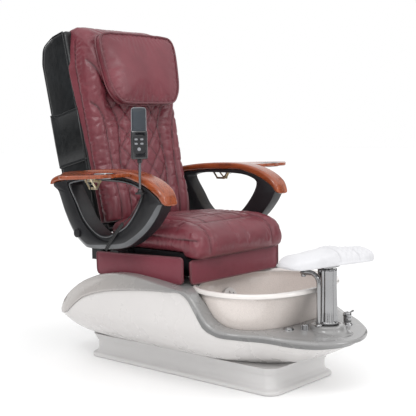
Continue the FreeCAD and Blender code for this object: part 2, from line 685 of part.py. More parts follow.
def build_back():
    tubes = []
    for name, side in SIDES.items():
        tubes.append(box(f"back_tube_{name}", f"{side} * 219.5 - 12.5", 20, 22, 25, 25, 790))
        tubes.append(box(f"back_lug_{name}", f"{side} * 236 - 4", -20, -22, 8, 65, 44))
        tubes.append(box(f"back_lug_rise_{name}", f"{side} * 236 - 4", 20, 22, 8, 25, 90))
        tubes.append(box(f"guide_rail_{name}", f"{side} * (rail_reach + 9) - 9", 72, 40, 18, 33, 780))
    tubes.append(rod("torque_tube", -240, 0, 0, 14, 480, "x"))
    tubes.append(box("recline_lever", -5, -5, -130, 10, 20, 125))
    tubes.append(box("back_cross_low", -207, 105, 40, 414, 25, 25))
    tubes.append(box("back_cross_high", -207, 105, 795, 414, 25, 25))
    for name, side in SIDES.items():
        tubes.append(box(f"back_return_low_{name}", f"{side} * 219.5 - 12.5", 45, 40, 25, 85, 25))
        tubes.append(box(f"back_return_high_{name}", f"{side} * 219.5 - 12.5", 45, 787, 25, 85, 25))
    tubes.append(box("screw_bearing", -18, 130, 797, 36, 32, 20))
    solid = fuse("back_frame_solid", tubes)
    holes = fuse("back_frame_holes", [
        rod("back_pin_hole", -260, 0, 0, "pivot_radius + running_gap", 520, "x"),
        rod("screw_hole", 0, 150, 790, "screw_radius + running_gap", 40),
        box("rail_slot_right", "-rail_reach - 9", 82, 66, 20, 13, 730),
        box("rail_slot_left", "rail_reach - 11", 82, 66, 20, 13, 730),
    ])
    set_in_back(keep(cut("back_frame", solid, holes), "back_frame"))

    body = new_body("back_shell")
    sketch = new_sketch(body, "YZ_Plane", "-back_half_width + 4")
    lines = polygon(sketch, [
        (14, 12), ("shell_depth - 45", 12), ("shell_depth", 60), ("shell_depth", "back_height - 80"),
        ("shell_depth - 35", "back_height - 22"), ("shell_depth - 100", "back_height + 2"),
        (14, "back_height + 6"),
    ])
    round_corners(sketch, lines, [0, 20, 30, 30, 30, 40, 0])
    pad(body, sketch, "2 * back_half_width - 8")
    hollow = new_sketch(body, "YZ_Plane", "-back_half_width + 4 + shell_wall")
    lines = polygon(hollow, [
        (0, 0), ("shell_depth - 63", 0), ("shell_depth - shell_wall", 62),
        ("shell_depth - shell_wall", "back_height - 84"),
        ("shell_depth - 38", "back_height - 27"), ("shell_depth - 100", "back_height - 3"),
        (0, "back_height + 1"),
    ])
    pocket(body, hollow, "2 * back_half_width - 8 - 2 * shell_wall", True)
    set_in_back(body)

    body = new_body("back_cushion")
    sketch = new_sketch(body, "YZ_Plane", "-back_half_width")
    polygon(sketch, [
        (8, 27), (8, "back_height"), (-20, "back_height + 2"), (-64, "back_height - 20"),
        (-100, "back_height - 60"), (-118, "back_height - 125"), (-113, 650), (-90, 535), (-66, 280),
        (-60, 60), (-52, 27),
    ])
    pad(body, sketch, "2 * back_half_width")
    for side in SIDES.values():
        corner = new_sketch(body, "XZ_Plane", -20)
        polygon(corner, [(f"{side} * (back_half_width + 5)", 690),
                         (f"{side} * (back_half_width + 5)", "back_height + 20"),
                         (f"{side} * 205", "back_height + 20")])
        pocket(body, corner, 160, True)
    set_in_back(body)

    band = cut("band_cut",
               box("band_outer", "-back_half_width - 1", 20, 300, "2 * back_half_width + 2",
                   "shell_depth - 16", 225),
               box("band_inner", "-back_half_width + 3.7", 10, 290, "2 * back_half_width - 7.4",
                   "shell_depth - 9.7", 245))
    set_in_back(keep(band, "back_side_band"))


def build_massage():
    reach = "rail_reach"
    pieces = [
        box("carriage_plate", f"-{reach} + 3", 88, 120, f"2 * {reach} - 6", 8, 110),
        box("carriage_nut", -16, 96, 160, 32, 70, 40),
        rod("knead_shaft", f"-{reach} + 3", 60, 175, 8, f"2 * {reach} - 6", "x"),
        box("knead_motor", 40, 96, 140, 70, 55, 70),
    ]
    for name, side in SIDES.items():
        pieces.append(box(f"carriage_cheek_{name}", f"{side} * ({reach} - 7) - 4", 46, 120, 8, 50, 110))
        for level in (126, 204):
            pieces.append(box(f"guide_shoe_{name}_{level}", f"{side} * ({reach} + 1) - 6", 83, level,
                              12, 11, 20))
    carriage = cut("carriage_cut", fuse("carriage_solid", pieces),
                   rod("nut_bore", 0, 150, 110, "screw_radius + running_gap", 130))
    set_in_back(keep(carriage, "massage_carriage"))

    for name, side in SIDES.items():
        x = side * 62
        arm = fuse(f"roller_solid_{name}", [
            rod(f"roller_hub_{name}", x - 14, 60, 175, 18, 28, "x"),
            box(f"roller_beam_{name}", x - 5, 38, 128, 10, 16, 94),
            rod(f"roller_low_{name}", x - 18, 40, 128, 25, 36, "x"),
            rod(f"roller_high_{name}", x - 18, 40, 222, 25, 36, "x"),
        ])
        hub = rod(f"roller_bore_{name}", x - 30, 60, 175, "8 + running_gap", 60, "x")
        set_in_back(keep(cut(f"roller_arm_{name}", arm, hub), f"roller_arm_{name}"))

    screw = fuse("lift_screw", [rod("screw_rod", 0, 150, 70, "screw_radius", 745),
                                rod("screw_coupling", 0, 150, 66, 11, 14)])
    set_in_back(keep(screw, "lift_screw"))
    motor = fuse("lift_motor", [box("lift_gearbox", -24, 130.2, 36, 48, 31, 29),
                                rod("lift_can", 24, 148, 51, 14, 70, "x")])
    set_in_back(keep(motor, "lift_motor"))


def build_pillow():
    body = doc.addObject("PartDesign::Body", "pillow_pad")
    sketch = new_sketch(body, "XZ_Plane", 121)
    lines = polygon(sketch, [
        (-150, 498), (150, 498), (205, 560), (222, 640), (226, 778), (-226, 778), (-222, 640), (-205, 560),
    ])
    round_corners(sketch, lines, [45, 45, 30, 0, 45, 45, 0, 30])
    pad(body, sketch, 42)
    hem = rod("pillow_hem", -226, -142, 778, 21, 452, "x")
    set_in_back(keep(fuse("pillow_solid", [body, hem]), "pillow"))


# ---------------------------------------------------------------- arms and trays

LOOP_LOW = ((451, 745), (428, 724), (389, 639), (339, 561), (282, 516), (242, 503), (130, 507),
            (49, 518), (-4, 539), (-82, 593), (-134, 650), (-165, 701))
PAD_LOW = ((451, 752), (416, 764), (250, 783), (64, 789), (-4, 781), (-80, 758), (-139, 726), (-165, 701))
PAD_HIGH = ((466, 752), (460, 772), (415, 790), (300, 808), (180, 817), (60, 818), (-5, 812),
            (-71, 796), (-130, 770), (-168, 738), (-182, 701))
LOOP_OPENING = ((337, 745), (293, 679), (249, 616), (184, 570), (129, 562), (74, 583), (20, 612),
                (-34, 673), (-60, 722), (-50, 748), (15, 768), (121, 773), (243, 771), (320, 760))


def build_arm(name, side):
    def from_inside(inner, width):
        return inner if side > 0 else f"-{inner} - {width}"

    body = new_body(f"arm_frame_{name}")
    sketch = new_sketch(body, "YZ_Plane", from_inside("arm_inner", "arm_width"))
    curve(sketch, LOOP_LOW)
    curve(sketch, PAD_LOW)
    sketch.addGeometry(Part.LineSegment(Vector(*PAD_LOW[0], 0), Vector(*LOOP_LOW[0], 0)), False)
    pad(body, sketch, "arm_width")
    opening = new_sketch(body, "YZ_Plane", from_inside("arm_inner", "arm_width"))
    curve(opening, LOOP_OPENING, closed=True)
    pocket(body, opening, "arm_width", True)
    hole = new_sketch(body, "YZ_Plane", from_inside("arm_inner", "arm_width"))
    circle(hole, "pivot_back", "pivot_height", "pivot_radius + running_gap")
    pocket(body, hole, "arm_width", True)

    body = new_body(f"arm_pad_{name}")
    sketch = new_sketch(body, "YZ_Plane", from_inside("arm_pad_inner", "arm_pad_width"))
    curve(sketch, PAD_LOW)
    curve(sketch, PAD_HIGH)
    sketch.addGeometry(Part.LineSegment(Vector(*PAD_LOW[0], 0), Vector(*PAD_HIGH[0], 0)), False)
    sketch.addGeometry(Part.LineSegment(Vector(*PAD_LOW[-1], 0), Vector(*PAD_HIGH[-1], 0)), False)
    pad(body, sketch, "arm_pad_width")


def build_tray(name, side):
    hinge_x = f"{side} * tray_hinge_out"
    hinge_z = "tray_hinge_height"
    face = SIZE["arm_inner"] + SIZE["arm_width"]
    leaf_x = face if side > 0 else -face - 3
    leaf = fuse(f"leaf_solid_{name}", [
        box(f"leaf_plate_{name}", leaf_x, 150, 738, 3, 100, 40),
        box(f"leaf_neck_{name}", f"{side} * 391 - 6", 180, 776, 12, 40, 4),
        rod(f"leaf_barrel_{name}", hinge_x, 180, hinge_z, 5, 40, "y"),
        box(f"leaf_web_{name}", f"{side} * 396 - 2", 180, 776, 4, 40, 12),
        rod(f"leaf_pin_{name}", hinge_x, 162, hinge_z, 2.5, 76, "y"),
        rod(f"strut_pin_{name}", f"{side} * 395", 166, 744, 2, 20, "y"),
        box(f"strut_ear_{name}", f"{side} * 391.5 - 4.5", 180, 740, 9, 5, 8),
    ])
    keep(leaf, f"tray_leaf_{name}")

    strap = cut(f"strap_cut_{name}", fuse(f"strap_solid_{name}", [
        box(f"strap_plate_{name}", f"{side} * 450 - 46", 160, "tray_level - 3", 92, 80, 3),
        rod(f"strap_knuckle_front_{name}", hinge_x, 160, hinge_z, 5, 19.7, "y"),
        rod(f"strap_knuckle_rear_{name}", hinge_x, 220.3, hinge_z, 5, 19.7, "y"),
        box(f"strap_web_front_{name}", f"{side} * 404 - 6", 160, hinge_z, 12, 19.7, 7),
        box(f"strap_web_rear_{name}", f"{side} * 404 - 6", 220.3, hinge_z, 12, 19.7, 7),
    ]), fuse(f"strap_space_{name}", [
        rod(f"strap_bore_{name}", hinge_x, 150, hinge_z, "2.5 + running_gap", 100, "y"),
        box(f"strap_gap_{name}", f"{side} * 397 - 8", 179.7, 784, 16, 40.6, 20),
    ]))
    keep(strap, f"tray_strap_{name}")

    strut = cut(f"strut_cut_{name}", fuse(f"strut_solid_{name}", [
        rod(f"strut_eye_{name}", 0, 168, 0, 4, 11, "y"),
        box(f"strut_bar_{name}", 0, 168, -1.5, "strut_length", 11, 3),
    ]), rod(f"strut_hole_{name}", 0, 160, 0, "2 + running_gap", 30, "y"))
    angle = 55 if side > 0 else 125
    strut.Placement = Placement(Vector(side * 395, 0, 744), Rotation(Vector(0, -1, 0), angle))
    keep(strut, f"tray_strut_{name}")

    board = new_body(f"tray_board_{name}")
    sketch = new_sketch(board, "XY_Plane", "tray_level")
    corners = [(f"{side} * 392", -30), (f"{side} * 570", -34), (f"{side} * 688", 50),
               (f"{side} * 500", 245), (f"{side} * 392", 292)]
    lines = polygon(sketch, corners)
    round_corners(sketch, lines, [20, 55, 40, 60, 20])
    pad(board, sketch, "tray_thickness")
    hole = new_sketch(board, "XY_Plane", "tray_level + tray_thickness")
    circle(hole, f"{side} * 505", 8, "dish_radius - 2")
    pocket(board, hole, "tray_thickness")

    dish = cut(f"tray_dish_{name}", fuse(f"dish_solid_{name}", [
        rod(f"dish_flange_{name}", f"{side} * 505", 8, "tray_level + tray_thickness",
            "dish_radius + 4", 1.5),
        rod(f"dish_cup_{name}", f"{side} * 505", 8, "tray_level - 5",
            "dish_radius - 2.2", "tray_thickness + 6"),
    ]), rod(f"dish_space_{name}", f"{side} * 505", 8, "tray_level - 3.5", "dish_radius - 4", 30))
    keep(dish, f"tray_dish_{name}")


# ---------------------------------------------------------------- handset

HANDSET_TURN = -47
CORD_ROUTE = ((-393, -78, 731.8), (-390.5, -64, 712), (-388.6, -42, 680), (-388.2, -14, 650),
              (-388.2, 14, 628), (-388.2, 31, 618.6))
SLEEVE_ROUTE = ((34, 616), (76, 574), (112, 534), (134, 505))


def build_handset():
    x = "-stalk_out"
    y = "-stalk_forward"
    mount = fuse("stalk_mount_solid", [
        rod("stalk_disc", x, y, "stalk_foot", 19, 6),
        box("stalk_tab", "-stalk_out + 10", "-stalk_forward - 12", "stalk_foot", 10, 24, 6),
        rod("stalk_hub", x, y, "stalk_foot + 5", 9, 11),
    ])
    keep(cut("stalk_mount", mount, rod("stalk_bore", x, y, "stalk_foot + 2", "5 + running_gap", 30)),
         "stalk_mount")
    keep(rod("gooseneck", x, y, "stalk_foot + 2.2", 5, "cradle_bottom - stalk_foot - 2.2"), "gooseneck")

    cradle = cut("cradle_cut",
                 box("cradle_block", "-handset_width / 2 - 3.5", "-handset_depth / 2 - 3.5", 0,
                     "handset_width + 7", "handset_depth + 7", 104),
                 box("cradle_hollow", "-handset_width / 2 - 0.4", "-handset_depth / 2 - 0.4", 4,
                     "handset_width + 0.8", "handset_depth + 0.8", 110))
    handset = box("handset_block", "-handset_width / 2", "-handset_depth / 2", 4.3, "handset_width",
                  "handset_depth", "handset_length")
    well = rod("power_well", 0, "handset_depth / 2 - 2", 165, 6.3, 6, "y")
    handset = cut("handset_cut", handset, well)
    button = rod("button_disc", 0, "handset_depth / 2 - 0.8", 165, 6, 2.4, "y")
    for thing, label in ((cradle, "remote_cradle"), (handset, "handset"), (button, "power_button")):
        turned = group(f"{label}_set", [thing])
        turned.Placement = Placement(Vector(), Rotation(Vector(0, 0, 1), HANDSET_TURN))
        move(turned, x, y, "cradle_bottom")
        keep(turned, label)


def tube_path(points):
    """Straight runs joined by tangent arcs, each arc as large as its two runs allow."""
    points = [Vector(*point) for point in points]
    edges = []
    start = points[0]
    radii = []
    for before, corner, after in zip(points, points[1:], points[2:]):
        arriving = (corner - before).normalize()
        leaving = (after - corner).normalize()
        turn = arriving.getAngle(leaving)
        shorter = min((corner - before).Length, (after - corner).Length)
        setback = 0.45 * shorter
        radii.append(setback / math.tan(turn / 2))
        enter = corner - arriving * setback
        leave = corner + leaving * setback
        inward = (leaving - arriving).normalize()
        to_centre = radii[-1] / math.cos(turn / 2)
        middle = corner + inward * (to_centre - radii[-1])
        edges.append(Part.LineSegment(start, enter).toShape())
        edges.append(Part.Arc(enter, middle, leave).toShape())
        start = leave
    edges.append(Part.LineSegment(start, points[-1]).toShape())
    return Part.Wire(edges), radii


def swept_tube(label, points, radius):
    path, radii = tube_path(points)
    begin = (Vector(*points[1]) - Vector(*points[0])).normalize()
    ring = Part.Wire([Part.Circle(Vector(*points[0]), begin, radius).toShape()])
    tube = path.makePipeShell([ring], True, False)
    expected = math.pi * radius ** 2 * path.Length
    print(f"{label}: length {path.Length:.1f}, radii", [round(r, 1) for r in radii],
          f"volume {tube.Volume:.0f}, expected {expected:.0f}")
    if abs(tube.Volume / expected - 1) > 0.02:
        raise ValueError(f"{label}: the swept volume is wrong")
    return tube


def build_cords():
    feature("handset_cord", swept_tube("handset_cord", CORD_ROUTE, SIZE["cord_radius"]))

    body = new_body("cord_sleeve")
    sketch = new_sketch(body, "YZ_Plane", "-arm_inner - arm_width - 5")
    left, right = [], []
    for index, (y, z) in enumerate(SLEEVE_ROUTE):
        before = SLEEVE_ROUTE[max(index - 1, 0)]
        after = SLEEVE_ROUTE[min(index + 1, len(SLEEVE_ROUTE) - 1)]
        along = Vector(after[0] - before[0], after[1] - before[1], 0).normalize()
        left.append((y - 8 * along.y, z + 8 * along.x))
        right.append((y + 8 * along.y, z - 8 * along.x))
    curve(sketch, left)
    curve(sketch, right)
    sketch.addGeometry(Part.LineSegment(Vector(*left[0], 0), Vector(*right[0], 0)), False)
    sketch.addGeometry(Part.LineSegment(Vector(*left[-1], 0), Vector(*right[-1], 0)), False)
    pad(body, sketch, 5)


def build_all():
    build_plinth()
    build_hull_and_deck()
    build_bowl()
    build_plumbing()
    build_footrest()
    build_taps()
    build_base_insides()
    build_seat()
    build_back()
    build_massage()
    build_pillow()
    for name, side in SIDES.items():
        build_arm(name, side)
        build_tray(name, side)
    build_handset()
    build_cords()


def check_and_write():
    doc.recompute()
    faults = [f"{item.Label}: {item.State}" for item in doc.Objects
              if "Invalid" in item.State or "Error" in item.State]
    for node in NODES:
        shape = node.Shape
        if shape.isNull() or not shape.isValid() or not shape.Solids:
            faults.append(f"{node.Label}: bad shape")
    if faults:
        raise ValueError("; ".join(faults))
    os.makedirs("parts", exist_ok=True)
    for node in NODES:
        node.Shape.exportStep(f"parts/{node.Label}.step")
        bounds = node.Shape.BoundBox
        print(f"{node.Label:22s} solids {len(node.Shape.Solids)} volume {node.Shape.Volume / 1000:9.1f} cm3 "
              f"x {bounds.XMin:7.1f} {bounds.XMax:7.1f} y {bounds.YMin:7.1f} {bounds.YMax:7.1f} "
              f"z {bounds.ZMin:7.1f} {bounds.ZMax:7.1f}")
    print(len(NODES), "sub-parts")


build_all()
check_and_write()
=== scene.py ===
import math

import bmesh
import bpy
import numpy as np
from mathutils import Matrix, Vector
from mathutils.bvhtree import BVHTree


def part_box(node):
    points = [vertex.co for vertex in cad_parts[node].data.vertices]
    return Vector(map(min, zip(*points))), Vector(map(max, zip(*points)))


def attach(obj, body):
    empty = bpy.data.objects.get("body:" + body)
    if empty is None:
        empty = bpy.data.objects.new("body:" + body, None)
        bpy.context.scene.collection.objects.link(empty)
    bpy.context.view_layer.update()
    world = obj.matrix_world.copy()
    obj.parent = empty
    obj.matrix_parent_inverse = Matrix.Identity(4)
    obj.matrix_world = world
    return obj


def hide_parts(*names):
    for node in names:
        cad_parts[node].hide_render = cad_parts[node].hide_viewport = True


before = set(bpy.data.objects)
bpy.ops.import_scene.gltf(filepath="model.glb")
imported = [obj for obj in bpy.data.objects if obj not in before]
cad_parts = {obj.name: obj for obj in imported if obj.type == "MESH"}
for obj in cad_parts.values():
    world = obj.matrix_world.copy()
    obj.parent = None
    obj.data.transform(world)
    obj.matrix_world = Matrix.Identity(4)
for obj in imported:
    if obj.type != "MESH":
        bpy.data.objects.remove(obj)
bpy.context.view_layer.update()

scene = bpy.context.scene
LEAN = math.radians(13.5)
BACK = Matrix(((1, 0, 0, 0),
               (0, math.cos(LEAN), math.sin(LEAN), 0.300),
               (0, -math.sin(LEAN), math.cos(LEAN), 0.560),
               (0, 0, 0, 1)))
SIDES = (("right", -1), ("left", 1))


# ---------------------------------------------------------------- curves and skins


def spline(points, count, closed=False):
    """Evenly spaced points on a smooth line through the given ones."""
    points = np.asarray(points, float)
    if closed:
        padded = np.vstack([points[-1:], points, points[:2]])
    else:
        padded = np.vstack([2 * points[0] - points[1], points, 2 * points[-1] - points[-2]])
    steps = np.linspace(0, 1, 16, endpoint=False)[:, None]
    fine = []
    for a, b, c, d in zip(padded, padded[1:], padded[2:], padded[3:]):
        fine.append(0.5 * (2 * b + (c - a) * steps + (2 * a - 5 * b + 4 * c - d) * steps ** 2
                           + (3 * b - a - 3 * c + d) * steps ** 3))
    fine.append(points[:1] if closed else points[-1:])
    fine = np.vstack(fine)
    run = np.concatenate([[0], np.cumsum(np.linalg.norm(np.diff(fine, axis=0), axis=1))])
    wanted = np.linspace(0, run[-1], count, endpoint=not closed)
    return np.column_stack([np.interp(wanted, run, fine[:, k]) for k in range(fine.shape[1])])


def along(x, table, column=1):
    """Smooth value at x of a table whose first column rises."""
    table = np.asarray(table, float)
    xs, ys = table[:, 0], table[:, column]
    slopes = np.gradient(ys, xs)
    x = np.clip(x, xs[0], xs[-1])
    k = np.clip(np.searchsorted(xs, x) - 1, 0, len(xs) - 2)
    width = xs[k + 1] - xs[k]
    t = (x - xs[k]) / width
    return ((1 + 2 * t) * (1 - t) ** 2 * ys[k] + t * (1 - t) ** 2 * width * slopes[k]
            + t * t * (3 - 2 * t) * ys[k + 1] + t * t * (t - 1) * width * slopes[k + 1])


def superellipse(half_x, half_y, power, count, centre=(0, 0)):
    turn = np.linspace(0, 2 * math.pi, count, endpoint=False)
    x = np.sign(np.cos(turn)) * np.abs(np.cos(turn)) ** (2 / power) * half_x + centre[0]
    y = np.sign(np.sin(turn)) * np.abs(np.sin(turn)) ** (2 / power) * half_y + centre[1]
    return np.column_stack([x, y])


def rounded_box(half_x, half_y, radius, corner_points=8):
    """A rectangle with round corners, as a closed outline."""
    points = []
    for corner, (sx, sy) in enumerate(((1, 1), (-1, 1), (-1, -1), (1, -1))):
        for step in range(corner_points):
            turn = math.pi / 2 * (corner + step / (corner_points - 1))
            points.append((sx * (half_x - radius) + radius * math.cos(turn),
                           sy * (half_y - radius) + radius * math.sin(turn)))
    return np.array(points)


def at_level(outline, level):
    return np.column_stack([outline, np.full(len(outline), level)])


def skin(rings, around=True, caps=True, wrap=False):
    """Vertices and faces over equal rings; wrap joins the last ring to the first."""
    count = len(rings[0])
    faces = []
    span = count if around else count - 1
    total = len(rings)
    for r in range(total if wrap else total - 1):
        for i in range(span):
            a, b = r * count + i, r * count + (i + 1) % count
            c, d = (r + 1) % total * count + (i + 1) % count, (r + 1) % total * count + i
            faces.append((a, b, c, d))
    if caps and not wrap:
        faces.append(tuple(reversed(range(count))))
        faces.append(tuple(range((total - 1) * count, total * count)))
    return np.vstack(rings), faces


def piece(name, shape, material, body, replaces=(), smooth=True, place=None,
          crease=None):
    """A new mesh object that rides on a body."""
    verts, faces = shape
    mesh = bpy.data.meshes.new(name)
    mesh.from_pydata([tuple(v) for v in verts], [], [tuple(f) for f in faces])
    if place is not None:
        mesh.transform(place)
    work = bmesh.new()
    work.from_mesh(mesh)
    bmesh.ops.recalc_face_normals(work, faces=work.faces)
    work.to_mesh(mesh)
    work.free()
    mesh.polygons.foreach_set("use_smooth", [smooth] * len(mesh.polygons))
    if crease is not None:
        mesh.set_sharp_from_angle(angle=math.radians(crease))
    made = bpy.data.objects.new(name, mesh)
    scene.collection.objects.link(made)
    mesh.materials.append(material)
    return settle(made, body, replaces)


def settle(made, body, replaces=()):
    if body:
        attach(made, body)
    if replaces:
        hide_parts(*replaces)
    return made


def modifier(made, kind, **settings):
    step = made.modifiers.new(kind.title(), kind)
    for key, setting in settings.items():
        setattr(step, key, setting)


def tube_rings(path, radius, sides=10, flatten=1.0):
    """Rings round a line, for piping, rods and wires; radius may vary along it."""
    path = np.asarray(path, float)
    radii = np.broadcast_to(radius, len(path))
    tangents = np.gradient(path, axis=0)
    tangents /= np.linalg.norm(tangents, axis=1)[:, None] + 1e-12
    side = np.cross(tangents[0], (0.3, 0.5, 0.8))
    rings = []
    for point, tangent, r in zip(path, tangents, radii):
        side = side - tangent * (side @ tangent)
        side /= np.linalg.norm(side)
        up = np.cross(tangent, side)
        turn = np.linspace(0, 2 * math.pi, sides, endpoint=False)[:, None]
        rings.append(point + r * (np.cos(turn) * side + flatten * np.sin(turn) * up))
    return rings


def lathe(profile, sides=48, flutes=0, depth=0.0):
    """Rings of a turned shape about z; flutes cut shallow hollows along it."""
    turn = np.linspace(0, 2 * math.pi, sides, endpoint=False)
    wave = 1 - depth * np.abs(np.sin(flutes * turn / 2)) if flutes else np.ones(sides)
    return [np.column_stack([r * wave * np.cos(turn), r * wave * np.sin(turn), np.full(sides, z)])
            for r, z in profile]


# ---------------------------------------------------------------- materials


def principled(name, colour, **inputs):
    material = bpy.data.materials.new(name)
    material.use_nodes = True
    nodes, links = material.node_tree.nodes, material.node_tree.links
    shader = nodes["Principled BSDF"]
    shader.inputs["Base Color"].default_value = (*colour, 1)
    for key, number in inputs.items():
        socket = shader.inputs[key.replace("_", " ")]
        socket.default_value = (*number, 1) if isinstance(number, tuple) else number
    where = nodes.new("ShaderNodeTexCoord")
    return material, nodes, links, shader, where.outputs["Object"]


def pattern(nodes, links, where, kind, scale, stretch=(1, 1, 1), **inputs):
    """A noise, cell or wave texture in the object's own metres."""
    texture = nodes.new(f"ShaderNodeTex{kind}")
    place = nodes.new("ShaderNodeMapping")
    place.inputs["Scale"].default_value = stretch
    links.new(where, place.inputs["Vector"])
    links.new(place.outputs["Vector"], texture.inputs["Vector"])
    texture.inputs["Scale"].default_value = scale
    for key, number in inputs.items():
        texture.inputs[key].default_value = number
    return texture.outputs["Distance" if kind == "Voronoi" else "Fac"]


def tint(nodes, links, shader, value, stops, socket="Base Color"):
    ramp = nodes.new("ShaderNodeValToRGB")
    ramp.color_ramp.elements[0].position = stops[0][0]
    ramp.color_ramp.elements[1].position = stops[-1][0]
    for position, colour in stops[1:-1]:
        ramp.color_ramp.elements.new(position)
    for element, (position, colour) in zip(ramp.color_ramp.elements, stops):
        element.color = (*colour, 1) if isinstance(colour, tuple) else (colour, colour, colour, 1)
    links.new(value, ramp.inputs["Fac"])
    if socket:
        links.new(ramp.outputs["Color"], shader.inputs[socket])
    return ramp.outputs["Color"]


def bump(nodes, links, shader, value, strength, distance, before=None):
    step = nodes.new("ShaderNodeBump")
    step.inputs["Strength"].default_value = strength
    step.inputs["Distance"].default_value = distance
    links.new(value, step.inputs["Height"])
    if before:
        links.new(before, step.inputs["Normal"])
    links.new(step.outputs["Normal"], shader.inputs["Normal"])
    return step.outputs["Normal"]


def shade(colour, factor):
    return tuple(min(1.0, c * factor) for c in colour)


def leather(name, colour, rough=0.42, sheen=0.15, light=1.18, seam_shade=0.5):
    material, nodes, links, shader, where = principled(
        name, colour, Roughness=rough, Sheen_Weight=sheen, Sheen_Roughness=0.5,
        Specular_IOR_Level=0.5)
    cloud = pattern(nodes, links, where, "Noise", 7, Detail=6, Roughness=0.55)
    base = tint(nodes, links, shader, cloud,
                ((0.32, shade(colour, 0.86)), (0.5, colour), (0.7, shade(colour, light))),
                socket=None)
    # painted shade: the 'seam' attribute darkens the colour along the pressed seam and quilt
    # grooves
    groove_shade = nodes.new("ShaderNodeAttribute")
    groove_shade.attribute_name = "seam"
    mix = nodes.new("ShaderNodeMix")
    mix.data_type = "RGBA"
    links.new(groove_shade.outputs["Fac"], mix.inputs["Factor"])
    links.new(base, mix.inputs["A"])
    mix.inputs["B"].default_value = (*shade(colour, seam_shade), 1)
    links.new(mix.outputs["Result"], shader.inputs["Base Color"])
    pores = pattern(nodes, links, where, "Voronoi", 620)
    normal = bump(nodes, links, shader, pores, 0.12, 0.0005)
    creases = pattern(nodes, links, where, "Noise", 85, stretch=(1, 1, 0.6), Detail=5,
                      Roughness=0.6)
    normal = bump(nodes, links, shader, creases, 0.06, 0.0008, normal)
    folds = pattern(nodes, links, where, "Noise", 24, Detail=3)
    bump(nodes, links, shader, folds, 0.06, 0.0015, normal)
    gloss = pattern(nodes, links, where, "Noise", 40, Detail=3)
    tint(nodes, links, shader, gloss, ((0.3, rough - 0.06), (0.7, rough + 0.08)), "Roughness")
    return material


# where the painted light on the deck fades in, front to back
PAINTED_LIGHT_FROM_Y, PAINTED_LIGHT_TO_Y = -0.20, 0.25


def gelcoat(name, colour, rough=0.18, speckle=0.0, grain=260.0, coat=0.6, cloud_depth=0.04,
            stern=None):
    """Sprayed resin; with a stern colour it fades to that colour towards the back of the base, as
    painted light and painted reflection of the seat, not a change in the resin.
    """
    material, nodes, links, shader, where = principled(
        name, colour, Roughness=rough, Coat_Weight=coat, Coat_Roughness=0.06)
    if speckle:
        dots = pattern(nodes, links, where, "Noise", grain, Detail=5, Roughness=0.8)
        base = tint(nodes, links, shader, dots, ((0.36, shade(colour, 1 - speckle)), (0.5, colour),
                                                 (0.66, shade(colour, 1 + speckle * 0.6))))
    else:
        cloud = pattern(nodes, links, where, "Noise", 3, Detail=4)
        base = tint(nodes, links, shader, cloud,
                    ((0.3, shade(colour, 1 - cloud_depth)), (0.7, colour)))
    # painted light: the stern colour lightens and warms the resin towards the back, for how the
    # rear band is lit and reflects the seat
    if stern:
        axes = nodes.new("ShaderNodeSeparateXYZ")
        links.new(where, axes.inputs["Vector"])
        painted_light_share = nodes.new("ShaderNodeMapRange")
        painted_light_share.inputs["From Min"].default_value = PAINTED_LIGHT_FROM_Y
        painted_light_share.inputs["From Max"].default_value = PAINTED_LIGHT_TO_Y
        links.new(axes.outputs["Y"], painted_light_share.inputs["Value"])
        mix = nodes.new("ShaderNodeMix")
        mix.data_type = "RGBA"
        links.new(painted_light_share.outputs["Result"], mix.inputs["Factor"])
        links.new(base, mix.inputs["A"])
        mix.inputs["B"].default_value = (*stern, 1)
        links.new(mix.outputs["Result"], shader.inputs["Base Color"])
    peel = pattern(nodes, links, where, "Noise", 140, Detail=2)
    bump(nodes, links, shader, peel, 0.04, 0.001)
    wipe = pattern(nodes, links, where, "Noise", 9, Detail=5)
    tint(nodes, links, shader, wipe, ((0.3, rough), (0.75, rough + 0.1)), "Roughness")
    return material


def metal(name, colour, rough=0.08, brushed=0.0, metallic=1.0):
    material, nodes, links, shader, where = principled(name, colour, Metallic=metallic,
                                                       Roughness=rough)
    smear = pattern(nodes, links, where, "Noise", 60, Detail=6, Roughness=0.7)
    tint(nodes, links, shader, smear, ((0.35, rough), (0.75, rough + 0.09 + brushed)), "Roughness")
    cloud = pattern(nodes, links, where, "Noise", 15, Detail=3)
    tint(nodes, links, shader, cloud, ((0.3, shade(colour, 0.93)), (0.7, colour)))
    if brushed:
        lines = pattern(nodes, links, where, "Noise", 400, stretch=(1, 0.04, 1), Detail=2)
        bump(nodes, links, shader, lines, brushed, 0.0003)
    return material


def plastic(name, colour, rough=0.45, grain=0.25, coat=0.0):
    material, nodes, links, shader, where = principled(
        name, colour, Roughness=rough, Coat_Weight=coat, Coat_Roughness=0.08,
        Specular_IOR_Level=0.5)
    cloud = pattern(nodes, links, where, "Noise", 12, Detail=5)
    tint(nodes, links, shader, cloud, ((0.3, shade(colour, 0.8)), (0.7, shade(colour, 1.2))))
    cells = pattern(nodes, links, where, "Voronoi", 900)
    bump(nodes, links, shader, cells, grain, 0.0004)
    scuff = pattern(nodes, links, where, "Noise", 30, Detail=6, Roughness=0.7)
    tint(nodes, links, shader, scuff, ((0.35, rough), (0.75, min(1.0, rough + 0.12))), "Roughness")
    return material


def wood(name, dark, mid, pale):
    material, nodes, links, shader, where = principled(
        name, mid, Roughness=0.26, Coat_Weight=0.45, Coat_Roughness=0.12)
    figure = pattern(nodes, links, where, "Noise", 9, stretch=(9, 1.0, 5), Detail=7, Roughness=0.62,
                     Distortion=0.35)
    tint(nodes, links, shader, figure, ((0.30, dark), (0.46, mid), (0.58, shade(mid, 1.12)),
                                        (0.75, pale)))
    pores = pattern(nodes, links, where, "Noise", 210, stretch=(1, 0.05, 1), Detail=3)
    bump(nodes, links, shader, pores, 0.05, 0.0005)
    tint(nodes, links, shader, pores, ((0.3, 0.2), (0.7, 0.34)), "Roughness")
    return material


